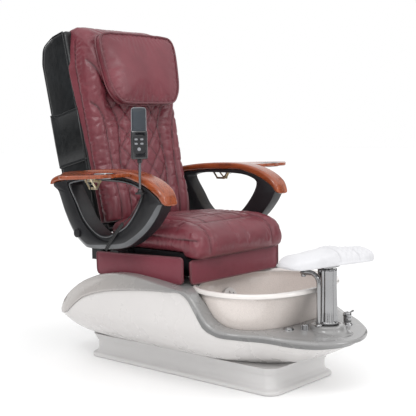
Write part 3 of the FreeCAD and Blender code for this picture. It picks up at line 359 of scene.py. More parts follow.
BURGUNDY = (0.150, 0.030, 0.041)
MATERIALS = {
    "burgundy": leather("burgundy_leather", BURGUNDY, rough=0.36, sheen=0.0, seam_shade=0.25),
    "skirt": leather("skirt_leather", (0.172, 0.029, 0.045), rough=0.50, sheen=0.0, light=1.05),
    "piping": leather("piping_leather", shade(BURGUNDY, 0.8), rough=0.36),
    "black_leather": leather("black_leather", (0.006, 0.007, 0.008), rough=0.36, sheen=0.0,
                             light=1.6),
    "white_leather": leather("white_leather", (0.62, 0.62, 0.64), rough=0.44, light=1.03,
                             seam_shade=0.8),
    "pearl": gelcoat("pearl_white", (0.62, 0.60, 0.59), rough=0.24, coat=0.4),
    "plinth": gelcoat("plinth_white", (0.60, 0.59, 0.585), rough=0.34, coat=0.15),
    # the silver deck's stern colour is painted light and painted reflection: lighter and warmer
    # towards the back, as its rear band is lit and picks up the seat's red
    "silver": gelcoat("silver_grey", (0.245, 0.242, 0.24), rough=0.22, speckle=0.14, grain=900,
                      coat=0.6,
                      stern=(0.40, 0.375, 0.36)),
    "bowl": gelcoat("pearl_cream", (0.66, 0.60, 0.565), rough=0.14, speckle=0.13, grain=300,
                    coat=0.7),
    # the lip material is painted shade: a darker copy of the deck's silver for the front wall that
    # faces down and out
    "lip": gelcoat("deck_lip_painted_shade", (0.150, 0.150, 0.150), rough=0.26, speckle=0.12, grain=900,
                   coat=0.4),
    "rim": gelcoat("bowl_rim", (0.74, 0.705, 0.68), rough=0.12, coat=0.7),
    "chrome": metal("chrome", (0.34, 0.34, 0.345), rough=0.05),
    "smoked": metal("smoked_chrome", (0.13, 0.13, 0.14), rough=0.12),
    "steel": metal("brushed_steel", (0.56, 0.56, 0.57), rough=0.26, brushed=0.1),
    "motor": metal("cast_aluminium", (0.42, 0.42, 0.43), rough=0.42, brushed=0.05),
    "black_steel": plastic("black_steel", (0.012, 0.012, 0.014), rough=0.35, grain=0.08, coat=0.2),
    "cream_steel": metal("cream_steel", (0.62, 0.53, 0.36), rough=0.3, metallic=0.75),
    "black_plastic": plastic("black_plastic", (0.010, 0.010, 0.012), rough=0.38, grain=0.3),
    # the band grey is painted highlight on the black arm loops: along their lower bevel and the rim
    # round their opening
    "band": plastic("grey_band_painted_highlight", (0.10, 0.104, 0.11), rough=0.32, grain=0.2),
    "slate": plastic("slate_plastic", (0.030, 0.038, 0.048), rough=0.34, grain=0.12),
    "gloss_black": plastic("gloss_black", (0.006, 0.006, 0.008), rough=0.07, grain=0.02, coat=0.8),
    "silver_trim": plastic("silver_trim", (0.22, 0.225, 0.24), rough=0.22, grain=0.04, coat=0.4),
    "rubber": plastic("black_rubber", (0.014, 0.014, 0.015), rough=0.55, grain=0.2),
    "wood": wood("cherry_wood", (0.13, 0.024, 0.007), (0.25, 0.052, 0.014), (0.40, 0.110, 0.030)),
}

NODE_LOOKS = {
    "chrome": ("drain_strainer", "footrest_post", "spout", "mixer_body", "mixer_lever",
               "diverter_knob",
               "air_button_bezel", "air_button", "gooseneck"),
    "pearl": ("jet_cover",),
    "steel": ("slide_rails", "recline_rod", "lift_screw", "tray_dish_right", "tray_dish_left"),
    "motor": ("jet_motor", "slide_actuator", "recline_actuator", "lift_motor"),
    "black_steel": ("base_frame", "seat_frame", "pivot_pins", "back_frame", "massage_carriage",
                    "stalk_mount"),
    "cream_steel": tuple(f"tray_{part}_{side}" for part in ("leaf", "strap", "strut")
                         for side in ("right", "left")),
    "black_plastic": ("jet_impeller", "control_box", "roller_arm_right", "roller_arm_left"),
    "rubber": ("power_button",),
}
for look, names in NODE_LOOKS.items():
    for node_name in names:
        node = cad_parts[node_name]
        node.data.materials.clear()
        node.data.materials.append(MATERIALS[look])


# ---------------------------------------------------------------- camera, floor and light


def set_stage():
    eye_dir = Vector((math.sin(math.radians(-48.94)) * math.cos(math.radians(5.33)),
                      -math.cos(math.radians(-48.94)) * math.cos(math.radians(5.33)),
                      math.sin(math.radians(5.33))))
    camera = bpy.data.objects.new("camera", bpy.data.cameras.new("camera"))
    scene.collection.objects.link(camera)
    camera.data.sensor_width = 36
    camera.data.lens = 77.45
    camera.location = Vector((0, -0.059, 0.649)) + eye_dir * 3.639
    aim = (-eye_dir).to_track_quat("-Z", "Y").to_matrix().to_4x4()
    roll = Matrix.Rotation(math.radians(-0.763), 4, "Z")
    camera.matrix_world = Matrix.Translation(camera.location) @ aim @ roll
    scene.camera = camera

    material, nodes, links, shader, where = principled("floor", (0.95, 0.95, 0.95), Roughness=0.8)
    cloud = pattern(nodes, links, where, "Noise", 1.5, Detail=3)
    tint(nodes, links, shader, cloud, ((0.3, (0.94, 0.94, 0.94)), (0.7, (0.96, 0.96, 0.96))))
    floor = piece("floor", skin([at_level(superellipse(30, 30, 2, 64), -0.0005)], caps=False)[:1]
                  + ([tuple(range(64))],), material, None, smooth=False)

    world = bpy.data.worlds.new("studio")
    scene.world = world
    world.use_nodes = True
    world.node_tree.nodes["Background"].inputs["Color"].default_value = (1, 1, 1, 1)
    world.node_tree.nodes["Background"].inputs["Strength"].default_value = 1.0
    lamps = (
        # name, kind, place, target, size, strength
        ("sky_card", "SUN", (-1.6, -2.2, 4.0), (0, 0, 0.4), 0.9, 0.55),
        ("key", "AREA", (-2.6, -0.9, 2.9), (0, 0, 0.8), 1.0, 26),
        ("front", "AREA", (1.6, -3.4, 2.4), (0, 0, 0.6), 1.1, 26),
    )
    for name, kind, place, target, size, strength in lamps:
        lamp = bpy.data.lights.new(name, kind)
        if kind == "SUN":
            lamp.angle = size
        else:
            lamp.size = size
        lamp.energy = strength
        made = bpy.data.objects.new(name, lamp)
        made.location = place
        made.rotation_euler = (Vector(target) - Vector(place)).to_track_quat("-Z", "Y").to_euler()
        scene.collection.objects.link(made)
    # dark cards that only polished surfaces see
    for number, (azimuth, reach, wide, low, high, grey) in enumerate((
            (-135, 3.2, 2.6, 0.0, 2.9, 0.05), (-84, 3.4, 0.5, 0.0, 2.6, 0.03),
            (-28, 4.4, 0.9, 0.0, 2.4, 0.02),
            (42, 3.4, 2.4, 0.0, 2.6, 0.06), (92, 3.2, 0.6, 0.0, 2.6, 0.03),
            (160, 3.6, 2.2, 0.0, 2.8, 0.05),
            (-52, 5.0, 1.1, 0.0, 2.6, 0.08))):
        turn = math.radians(azimuth)
        middle = np.array((math.sin(turn), -math.cos(turn), 0)) * reach + (0, -0.2, 0)
        side = np.array((math.cos(turn), math.sin(turn), 0)) * wide / 2
        verts = [middle - side + (0, 0, low), middle + side + (0, 0, low),
                 middle + side + (0, 0, high),
                 middle - side + (0, 0, high)]
        material, nodes, links, shader, where = principled(f"card_{number}", (grey,) * 3,
                                                           Roughness=1.0,
                                                           Specular_IOR_Level=0.0)
        card = piece(f"card_{number}", (np.array(verts), [(0, 1, 2, 3)]), material, None,
                     smooth=False)
        card.visible_camera = card.visible_diffuse = card.visible_shadow = False
    scene.view_settings.view_transform = "Standard"
    scene.view_settings.exposure = 0.0


set_stage()


# ---------------------------------------------------------------- fibreglass base

HULL_LEVELS = (
    # level, half width, front and rear as a share of the hull's own, width of the nose
    (0.100, 0.575, 0.705, 0.790, 0.170),
    (0.128, 0.740, 0.800, 0.870, 0.200),
    (0.168, 0.880, 0.905, 0.945, 0.232),
    (0.215, 0.965, 0.990, 1.000, 0.256),
    (0.300, 1.000, 1.000, 1.000, 0.262),
    (0.400, 0.990, 1.000, 0.990, 0.262),
)
# Side outlines, y then z: where the white hull meets the grey deck, and the deck's upper edge.
SEAM = ((-0.800, 0.180), (-0.660, 0.193), (-0.560, 0.212), (-0.460, 0.225), (-0.371, 0.236),
        (-0.325, 0.262), (-0.300, 0.300), (-0.268, 0.345), (-0.225, 0.372), (-0.160, 0.371),
        (0.083, 0.351), (0.194, 0.333), (0.310, 0.299), (0.471, 0.207), (0.552, 0.200))
CREST = ((-0.800, 0.208), (-0.640, 0.229), (-0.520, 0.243), (-0.430, 0.250), (-0.375, 0.262),
         (-0.338, 0.288), (-0.312, 0.322), (-0.282, 0.357), (-0.240, 0.377), (-0.195, 0.382),
         (0.270, 0.382), (0.330, 0.360), (0.430, 0.305), (0.545, 0.222), (0.565, 0.212))
BOWL_Y = -0.357
COLUMN_Y = -0.635
# where the deck's front lower wall gets painted shade
SHADED_LIP_FRONT_Y = -0.30
SHADED_LIP_RINGS = range(1, 6)
STATIONS = 264


def hull_points(turn, level):
    """Plan position on the hull's outside; turn 0 to 24 starts at the middle of the stern."""
    half = 0.356 * along(level, HULL_LEVELS, 1)
    front = -0.775 * along(level, HULL_LEVELS, 2)
    rear = 0.552 * along(level, HULL_LEVELS, 3)
    nose = along(level, HULL_LEVELS, 4)
    zero = np.zeros_like(half)
    x = [zero, half * 0.40, half * 0.70, half * 0.88, half * 0.965, half * 0.992, half,
         half * 0.995,
         half * 0.955, nose, nose * 0.82, nose * 0.50, zero]
    y = [rear, rear - 0.001, rear - 0.007, rear - 0.032, rear - 0.100, rear - 0.260, zero + 0.060,
         zero - 0.200, front * 0.54, front * 0.70, front * 0.82, front * 0.940, front]
    x = np.array(x + [-a for a in x[-2:0:-1]])
    y = np.array(y + y[-2:0:-1])
    k = np.floor(turn).astype(int)
    t = turn - k
    n = np.arange(len(turn))
    out = []
    for line in (x, y):
        a, b, c, d = (line[(k + j) % 24, n] for j in (-1, 0, 1, 2))
        out.append(0.5 * (2 * b + (c - a) * t + (2 * a - 5 * b + 4 * c - d) * t ** 2
                          + (3 * b - a - 3 * c + d) * t ** 3))
    return np.column_stack(out)


def hull_edge(table):
    """Where the hull's outside crosses one of the side outlines."""
    turn = np.linspace(0, 24, STATIONS, endpoint=False)
    level = np.full(STATIONS, 0.3)
    for _ in range(12):
        plan = hull_points(turn, level)
        level = 0.5 * level + 0.5 * along(plan[:, 1], table)
    return turn, np.column_stack([hull_points(turn, level), level])


def outward(ring):
    """Horizontal direction away from the hull at each station."""
    ahead = np.roll(ring, -1, axis=0) - np.roll(ring, 1, axis=0)
    normal = np.column_stack([-ahead[:, 1], ahead[:, 0], np.zeros(len(ring))])
    normal /= np.linalg.norm(normal, axis=1)[:, None]
    flip = np.sign(np.sum(normal[:, :2] * (ring[:, :2] - (0, -0.1)), axis=1))
    return normal * flip[:, None]


def bowl_outline(level, grow=0.0, count=STATIONS, turn=None):
    """The bath's outside at one level, or its points in the directions asked for."""
    sections = ((0.172, -0.345, 0.232, 0.142, 2.6), (0.198, -0.345, 0.262, 0.166, 2.6),
                (0.260, -0.345, 0.289, 0.187, 2.6), (0.330, -0.350, 0.301, 0.208, 2.4),
                (0.383, -0.357, 0.304, 0.231, 2.35))
    centre, half_x, half_y, power = (along(level, sections, c) for c in (1, 2, 3, 4))
    if turn is None:
        return at_level(superellipse(half_x + grow, half_y + grow, power, count, (0, centre)),
                        level)
    away = 1 / ((np.abs(np.cos(turn)) / (half_x + grow)) ** power
                + (np.abs(np.sin(turn)) / (half_y + grow)) ** power) ** (1 / power)
    return np.column_stack([away * np.cos(turn), centre + away * np.sin(turn), level])


def build_hull():
    turn, seam = hull_edge(SEAM)
    rings = []
    foot = hull_points(turn, np.full(STATIONS, 0.100))
    rings.append(np.column_stack([foot * 0.93, np.full(STATIONS, 0.100)]))
    for share in np.linspace(0, 1, 20) ** 1.15:
        level = 0.100 + (seam[:, 2] - 0.100) * share
        rings.append(np.column_stack([hull_points(turn, level), level]))
    tuck = outward(seam)
    rings.append(seam - tuck * 0.004 + (0, 0, 0.001))
    hull = piece("hull_skin", skin(rings, caps=False), MATERIALS["pearl"], "base",
                 ["hull"])
    modifier(hull, "SOLIDIFY", thickness=0.004, offset=-1)


def build_deck():
    turn, seam = hull_edge(SEAM)
    crest = hull_edge(CREST)[1]
    away = outward(crest)
    height = (crest[:, 2] - seam[:, 2])[:, None]
    proud = 0.0045
    rounding = np.minimum(0.013, height * 0.42)
    up = np.array((0, 0, 1.0))
    inset = np.clip((crest[:, 1:2] + 0.1) * 0.06, 0, 0.022)
    lower = [seam - away * 0.003 - up * 0.001, seam + away * proud * 0.6 - up * 0.0035,
             seam + away * proud - up * 0.001]
    rings = list(lower)
    top = crest - away * inset
    for share in (0.15, 0.4, 0.65, 0.85):
        level = seam[:, 2] + (height[:, 0] - rounding[:, 0]) * share
        wall = np.column_stack([hull_points(turn, level), level])
        rings.append(wall + away * (proud - inset * share ** 1.5))
    for bend in np.radians((0, 22, 45, 68, 90)):
        rings.append(top + away * (proud - rounding * (1 - math.cos(bend)))
                     - up * rounding * (1 - math.sin(bend)))
    edge = rings[-1]
    angle = np.arctan2(edge[:, 1] - BOWL_Y, edge[:, 0])
    level = edge[:, 2].copy()
    for _ in range(25):
        inner = bowl_outline(level, np.where(level < 0.345, 0.0012, 0.010), turn=angle)
        level = 0.6 * level + 0.4 * along(inner[:, 1], CREST)
    for share in np.linspace(0, 1, 22)[1:]:
        ring = edge * (1 - share) + inner * share
        ring[:, 2] = along(ring[:, 1], CREST) + 0.0025 * math.sin(math.pi * share)
        blend = min(1.0, share * 6)
        ring[:, 2] = ring[:, 2] * blend + edge[:, 2] * (1 - blend)
        rings.append(ring)
    rings.append(rings[-1] - up * 0.004 + (inner - edge) * 0.004)
    rings.append(rings[-1] - up * 0.010)
    deck = piece("deck_skin", skin(rings, caps=False), MATERIALS["silver"], "base",
                 ["deck"])
    # painted shade: faces of the front lower wall get the darker lip material
    deck.data.materials.append(MATERIALS["lip"])
    for face in deck.data.polygons:
        if min(face.vertices) // STATIONS in SHADED_LIP_RINGS and face.center.y < SHADED_LIP_FRONT_Y:
            face.material_index = 1
    modifier(deck, "SOLIDIFY", thickness=0.003, offset=-1)

    profile = ((0.096, 0.2180), (0.086, 0.2225), (0.076, 0.2265), (0.0700, 0.2320),
               (0.0665, 0.2390),
               (0.0650, 0.2455), (0.0632, 0.2490), (0.0600, 0.2505), (0.0405, 0.2505),
               (0.0405, 0.236))
    boss = piece("column_boss", skin(lathe(profile, 72), caps=False), MATERIALS["silver"], "base",
                 place=Matrix.Translation((0, COLUMN_Y, 0)))
    modifier(boss, "SOLIDIFY", thickness=0.003, offset=-1)


def build_bowl():
    count = 128
    rings = [bowl_outline(0.172, grow, count) + (0, 0, lift)
             for grow, lift in ((-0.060, 0.0), (-0.020, 0.0), (-0.006, 0.0015))]
    for level in (0.176, 0.184, 0.198, 0.215, 0.24, 0.27, 0.30, 0.33, 0.35, 0.362):
        rings.append(bowl_outline(level, 0, count))

    def lip(out, level):
        return at_level(superellipse(0.312 + out, 0.240 + out, 2.35, count, (0, BOWL_Y)), level)

    under = [lip(-0.004, 0.3655), lip(0.0, 0.3655), lip(0.0025, 0.3675)]
    lip_rings = under + [lip(0.003, 0.371), lip(0.002, 0.376), lip(0.0, 0.380), lip(-0.004, 0.3825),
                         lip(-0.009, 0.3832), lip(-0.0125, 0.3822), lip(-0.015, 0.3795),
                         lip(-0.018, 0.378), lip(-0.021, 0.3775), lip(-0.0245, 0.3755)]
    outer_count = len(rings)
    rings += lip_rings
    rim_end = len(rings)
    for level in (0.368, 0.35, 0.32, 0.28, 0.24, 0.215, 0.20, 0.190, 0.184, 0.1805):
        rings.append(bowl_outline(level, -0.0085, count) + (0, 0, 0.0))
    rings.append(bowl_outline(0.180, -0.016, count) + (0, 0, -0.001))
    rings.append(bowl_outline(0.180, -0.045, count) + (0, 0, -0.001))
    verts, faces = skin(rings, caps=False)
    faces += [tuple(reversed(range(count))), tuple(range(len(verts) - count, len(verts)))]
    bowl = piece("bowl_skin", (verts, faces), MATERIALS["bowl"], "base", ["bowl"],
                 crease=55)
    bowl.data.materials.append(MATERIALS["rim"])
    for face in bowl.data.polygons:
        ring = min(face.vertices) // count
        if outer_count - 1 <= ring < rim_end and len(face.vertices) == 4:
            face.material_index = 1


def plinth_ring(inset, level):
    half_x, middle, half_y = 0.210 - inset, (0.458 - 0.540) / 2, (0.458 + 0.540) / 2 - inset
    outline = rounded_box(half_x, half_y, 0.052 - inset * 0.7, 14) + (0, middle)
    return at_level(outline, level)


def build_plinth():
    profile = ((0.030, 0.0), (0.004, 0.0), (0.001, 0.0025), (0.0, 0.006), (0.001, 0.011),
               (0.0045, 0.0155),
               (0.0095, 0.018), (0.0110, 0.0185), (0.0125, 0.0195), (0.0145, 0.0205),
               (0.0185, 0.0245),
               (0.0215, 0.030), (0.0235, 0.038), (0.024, 0.050), (0.024, 0.068), (0.0235, 0.072),
               (0.0195, 0.0725), (0.0190, 0.0745), (0.0190, 0.0800), (0.0155, 0.0808),
               (0.0150, 0.0825),
               (0.0150, 0.0875), (0.0115, 0.0883), (0.0110, 0.090), (0.0110, 0.0955),
               (0.0075, 0.0963),
               (0.0070, 0.098), (0.0072, 0.0995), (0.020, 0.1003), (0.060, 0.1003))
    rings = [plinth_ring(*step) for step in profile]
    piece("plinth_skin", skin(rings), MATERIALS["plinth"], "base", ["plinth"],
          crease=40)


def build_column():
    profile = ((0.0405, 0.2500), (0.0425, 0.2520), (0.0425, 0.2580), (0.0395, 0.2600),
               (0.0385, 0.2640))
    piece("column_collar", skin(lathe(profile, 64)), MATERIALS["chrome"], "base",
          place=Matrix.Translation((0, COLUMN_Y, 0)), crease=50)
    levels = np.linspace(0.2515, 0.4572, 26)
    radii = np.interp(levels, (0.25, 0.262, 0.30, 0.40, 0.458),
                      (0.042, 0.0405, 0.0372, 0.0345, 0.0360))
    rings = lathe(tuple(zip(radii, levels)), 128, flutes=16, depth=0.10)
    piece("fluted_column", skin(rings), MATERIALS["chrome"], "base", ["footrest_column"],
          place=Matrix.Translation((0, COLUMN_Y, 0)))


build_hull()
build_deck()
build_bowl()
build_plinth()
build_column()

# ---------------------------------------------------------------- upholstery

CLOTH_FRAMES = 20


def puff(made, pinned, pressure=4.0, grow=0.03, cap=0.020, cell=0.006):
    """Fill a cushion: its skin swells as cloth, held where pinned(points) is true."""
    modifier(made, "REMESH", mode="VOXEL", voxel_size=cell)
    graph = bpy.context.evaluated_depsgraph_get()
    mesh = bpy.data.meshes.new_from_object(made.evaluated_get(graph))
    made.modifiers.clear()
    made.data = mesh
    before = coords(mesh)
    group = made.vertex_groups.new(name="held")
    group.add([int(i) for i in np.flatnonzero(pinned(before))], 1.0, "REPLACE")
    cloth = made.modifiers.new("Cloth", "CLOTH")
    cloth.settings.quality = 4
    cloth.settings.mass = 0.25
    cloth.settings.tension_stiffness = 12
    cloth.settings.compression_stiffness = 12
    cloth.settings.shear_stiffness = 4
    cloth.settings.bending_stiffness = 0.4
    cloth.settings.use_pressure = True
    cloth.settings.uniform_pressure_force = pressure
    cloth.settings.shrink_min = -grow
    cloth.settings.vertex_group_mass = "held"
    cloth.settings.effector_weights.gravity = 0
    cloth.point_cache.frame_end = CLOTH_FRAMES
    for number in range(1, CLOTH_FRAMES + 1):
        scene.frame_set(number)
    graph = bpy.context.evaluated_depsgraph_get()
    swollen = bpy.data.meshes.new_from_object(made.evaluated_get(graph))
    move = coords(swollen) - before
    length = np.linalg.norm(move, axis=1)[:, None] + 1e-9
    move *= cap * np.tanh(length / cap) / length
    made.modifiers.clear()
    made.vertex_groups.clear()
    scene.frame_set(1)
    put(mesh, before + move)
    mesh.polygons.foreach_set("use_smooth", [True] * len(mesh.polygons))


def coords(mesh):
    flat = np.empty(len(mesh.vertices) * 3)
    mesh.vertices.foreach_get("co", flat)
    return flat.reshape(-1, 3)


def put(mesh, points):
    mesh.vertices.foreach_set("co", np.ascontiguousarray(points, np.float32).ravel())
    mesh.update()


def subdivided(made):
    modifier(made, "SUBSURF", levels=1, render_levels=1)
    graph = bpy.context.evaluated_depsgraph_get()
    mesh = bpy.data.meshes.new_from_object(made.evaluated_get(graph))
    made.modifiers.clear()
    made.data = mesh


def distance_to(flat, line):
    """Distance of 2-D points to a polyline."""
    best = np.full(len(flat), 9.0)
    line = np.asarray(line, float)
    for a, b in zip(line, line[1:]):
        run = b - a
        t = np.clip(((flat - a) @ run) / (run @ run), 0, 1)
        best = np.minimum(best, np.linalg.norm(flat - a - t[:, None] * run, axis=1))
    return best


def carve(made, pick, facing, lines, wrinkles=(), quilt=None):
    """Press seams and creases into a skin, and keep painted shade along the seam and quilt grooves
    in its 'seam' attribute; pick gives its 2-D chart, facing where they apply.
    """
    mesh = made.data
    points = coords(mesh)
    normals = np.empty(len(points) * 3)
    mesh.vertices.foreach_get("normal", normals)
    normals = normals.reshape(-1, 3)
    flat, where = pick(points), facing(points, normals)
    sink = np.zeros(len(points))
    # painted shade for the seam and quilt grooves, darkest in the middle of each groove
    groove_shade_mask = np.zeros(len(points))
    for line, depth, width in lines:
        far = distance_to(flat, line)
        sink += depth * np.exp(-far / width) * (far < 0.06)
        groove_shade_mask = np.maximum(groove_shade_mask, np.exp(-(far / 0.0026) ** 2))
    for line, depth, width in wrinkles:
        sink += depth * np.exp(-(distance_to(flat, line) / width) ** 2)
    if quilt:
        inside, phases = quilt
        area = inside(flat)
        for phase, slope in phases:
            p = phase(flat)
            far = np.abs(p - np.round(p)) / slope
            sink += area * 0.0062 * np.exp(-(far / 0.0058) ** 2)
            groove_shade_mask = np.maximum(groove_shade_mask, 0.8 * area * np.exp(-(far / 0.0022) ** 2))
    put(mesh, points - normals * (sink * where)[:, None])
    layer = mesh.attributes.new("seam", "FLOAT", "POINT")
    layer.data.foreach_set("value", (groove_shade_mask * where).astype(np.float32))


def laid(made, path, start, toward, lift=0.0):
    """Drop a path onto a skin along one direction; gives points and normals."""
    mesh = made.data
    tree = BVHTree.FromPolygons([v.co for v in mesh.vertices], [p.vertices for p in mesh.polygons])
    points, normals = [], []
    for step in path:
        hit, normal, _, _ = tree.ray_cast(Vector(start(step)), Vector(toward))
        if hit is not None:
            normal = -normal if normal.dot(Vector(toward)) > 0 else normal
            points.append(hit + normal * lift)
            normals.append(normal)
    return np.array(points), np.array(normals)


def stitches(name, runs, material, body, place=None, pitch=0.0075, length=0.0046,
             radius=0.0006):
    """Short raised threads along paths."""
    rings, faces, base = [], [], 0
    for run in runs:
        if len(run) < 3:
            continue
        total = np.linalg.norm(np.diff(run, axis=0), axis=1).sum()
        count = max(3, int(total / pitch) * 2)
        line = spline(run, count)
        for a, b in zip(line[0::2], line[1::2]):
            middle, half = (a + b) / 2, (b - a) / (np.linalg.norm(b - a) + 1e-9) * length / 2
            path = [middle + half * t for t in (-1, -0.7, 0.7, 1)]
            verts, quads = skin(tube_rings(path, np.array((0.4, 1, 1, 0.4)) * radius, 6))
            rings.append(verts)
            faces += [tuple(base + i for i in quad) for quad in quads]
            base += len(verts)
    piece(name, (np.vstack(rings), faces), material, body, place=place)


def mirrored(lines):
    return [[(side * x, y) for x, y in line] for line in lines for side in (1, -1)]


BACK_DEPTH = ((0.027, 0.052), (0.060, 0.060), (0.280, 0.066), (0.535, 0.090), (0.650, 0.112),
              (0.737, 0.116), (0.802, 0.100), (0.842, 0.066), (0.864, 0.022))
BACK_SEAMS = mirrored([
    [(0.262, 0.735), (0.240, 0.684), (0.217, 0.635), (0.200, 0.603), (0.150, 0.575), (0.0, 0.560)],
    [(0.262, 0.545), (0.230, 0.500), (0.208, 0.455), (0.196, 0.400), (0.191, 0.310), (0.184, 0.200),
     (0.178, 0.080), (0.176, 0.020)],
    [(0.172, 0.533), (0.148, 0.495), (0.125, 0.457), (0.117, 0.419), (0.127, 0.337), (0.138, 0.245),
     (0.120, 0.160), (0.116, 0.086), (0.116, 0.020)],
])
BACK_WRINKLES = mirrored([
    [(0.200, 0.560), (0.250, 0.495)], [(0.190, 0.412), (0.130, 0.419)],
    [(0.186, 0.438), (0.133, 0.448)],
    [(0.252, 0.602), (0.206, 0.566)], [(0.256, 0.470), (0.222, 0.452)],
    [(0.250, 0.380), (0.208, 0.388)],
    [(0.252, 0.330), (0.205, 0.318)], [(0.250, 0.255), (0.204, 0.262)],
    [(0.180, 0.360), (0.138, 0.352)],
    [(0.178, 0.300), (0.146, 0.306)], [(0.176, 0.200), (0.140, 0.188)],
    [(0.174, 0.150), (0.134, 0.142)],
    [(0.250, 0.180), (0.200, 0.172)], [(0.248, 0.120), (0.200, 0.128)],
    [(0.190, 0.505), (0.160, 0.490)],
    [(0.220, 0.800), (0.170, 0.812)], [(0.228, 0.780), (0.240, 0.730)],
])


def build_back_cushion():
    levels = np.concatenate([np.linspace(0.027, 0.80, 44), np.linspace(0.808, 0.863, 10)])
    across = np.linspace(-1, 1, 41)
    half = np.interp(levels, (0.0, 0.690, 0.780, 0.864), (0.250, 0.250, 0.232, 0.206))
    depth = along(levels, BACK_DEPTH)
    rings = []
    for level, wide, deep in zip(levels, half, depth):
        edge = np.maximum(0, (np.abs(across) - 0.80) / 0.20)
        front = deep * (1 - 0.34 * edge ** 2.4)
        bolster = 0.010 * np.exp(-((np.abs(across) * wide - 0.214) / 0.030) ** 2) * (level < 0.76)
        hollow = 0.008 * np.exp(-((across * wide) / 0.10) ** 2) * (level < 0.50)
        face = np.column_stack([across * wide, -(front + bolster - hollow), np.full(41, level)])
        wrap = 0.008 + 0.026 * np.clip((level - 0.25) / 0.40, 0, 1) ** 1.3
        rear = [(wide, -0.030, level), (wide, wrap, level), (0, wrap, level),
                (-wide, wrap, level), (-wide, -0.030, level)]
        rings.append(np.vstack([face, rear]))
    cushion = piece("back_cushion_leather", skin(rings), MATERIALS["burgundy"], None)
    seams = [np.array(line) for line in BACK_SEAMS]

    def pinned(points):
        flat = points[:, (0, 2)]
        near = np.min([distance_to(flat, line) for line in seams], axis=0) < 0.006
        return (points[:, 1] > -0.012) | (near & (points[:, 1] < -0.04))

    puff(cushion, pinned, pressure=3.2, grow=0.008, cap=0.014)

    def inside(flat):
        edge = np.interp(flat[:, 1], (0.02, 0.086, 0.16, 0.245, 0.337, 0.419, 0.457, 0.50, 0.56),
                         (0.116, 0.116, 0.119, 0.138, 0.127, 0.117, 0.125, 0.15, 0.19))
        return np.clip((edge - np.abs(flat[:, 0])) / 0.008, 0, 1) * (flat[:, 1] < 0.56)

    slope = math.hypot(1 / 0.095, 1 / 0.080)
    quilt = (inside, ((lambda f: f[:, 1] / 0.095 + f[:, 0] / 0.080, slope),
                      (lambda f: f[:, 1] / 0.095 - f[:, 0] / 0.080, slope)))
    carve(cushion, lambda p: p[:, (0, 2)], lambda p,
          n: np.clip(-n[:, 1] * 1.6, 0, 1) * (p[:, 1] < -0.03),
          [(line, 0.0105, 0.0085) for line in seams], [(w, 0.0030, 0.0060) for w in BACK_WRINKLES],
          quilt)
    rng = np.random.default_rng(4)
    gathers = []
    for level in np.arange(0.05, 0.80, 0.021):
        shift = rng.uniform(-0.006, 0.006)
        gathers.append(([(-0.052, level + shift),
                         (-0.014, level + shift + rng.uniform(-0.01, 0.01))],
                        rng.uniform(0.0015, 0.0036), 0.0045))
    mesh_seam = cushion.data.attributes["seam"]
    kept = np.empty(len(cushion.data.vertices))
    mesh_seam.data.foreach_get("value", kept)
    cushion.data.attributes.remove(mesh_seam)
    carve(cushion, lambda p: p[:, (1, 2)],
          lambda p, n: np.clip(np.abs(n[:, 0]) * 1.5 - 0.3, 0, 1) * (np.abs(p[:, 0]) > 0.19),
          [([(-0.014, 0.03), (-0.014, 0.80)], 0.004, 0.005)], gathers)
    both = np.empty(len(kept))
    cushion.data.attributes["seam"].data.foreach_get("value", both)
    cushion.data.attributes["seam"].data.foreach_set("value",
                                                     np.maximum(both, kept).astype(np.float32))
    subdivided(cushion)
    runs = []
    for line in seams:
        for shift in (-0.0055, 0.0055):
            path = [(x + shift * (1 if abs(x) > 0.1 else 0), z + (shift if abs(x) <= 0.1 else 0))
                    for x, z in spline(line, 60)]
            points, _ = laid(cushion, path, lambda s: (s[0], -0.4, s[1]), (0, 1, 0), 0.0002)
            runs.append(points)
    stitches("back_seam_stitches", runs, MATERIALS["piping"], "back", BACK)
    cushion.data.transform(BACK)
    settle(cushion, "back", ["back_cushion"])


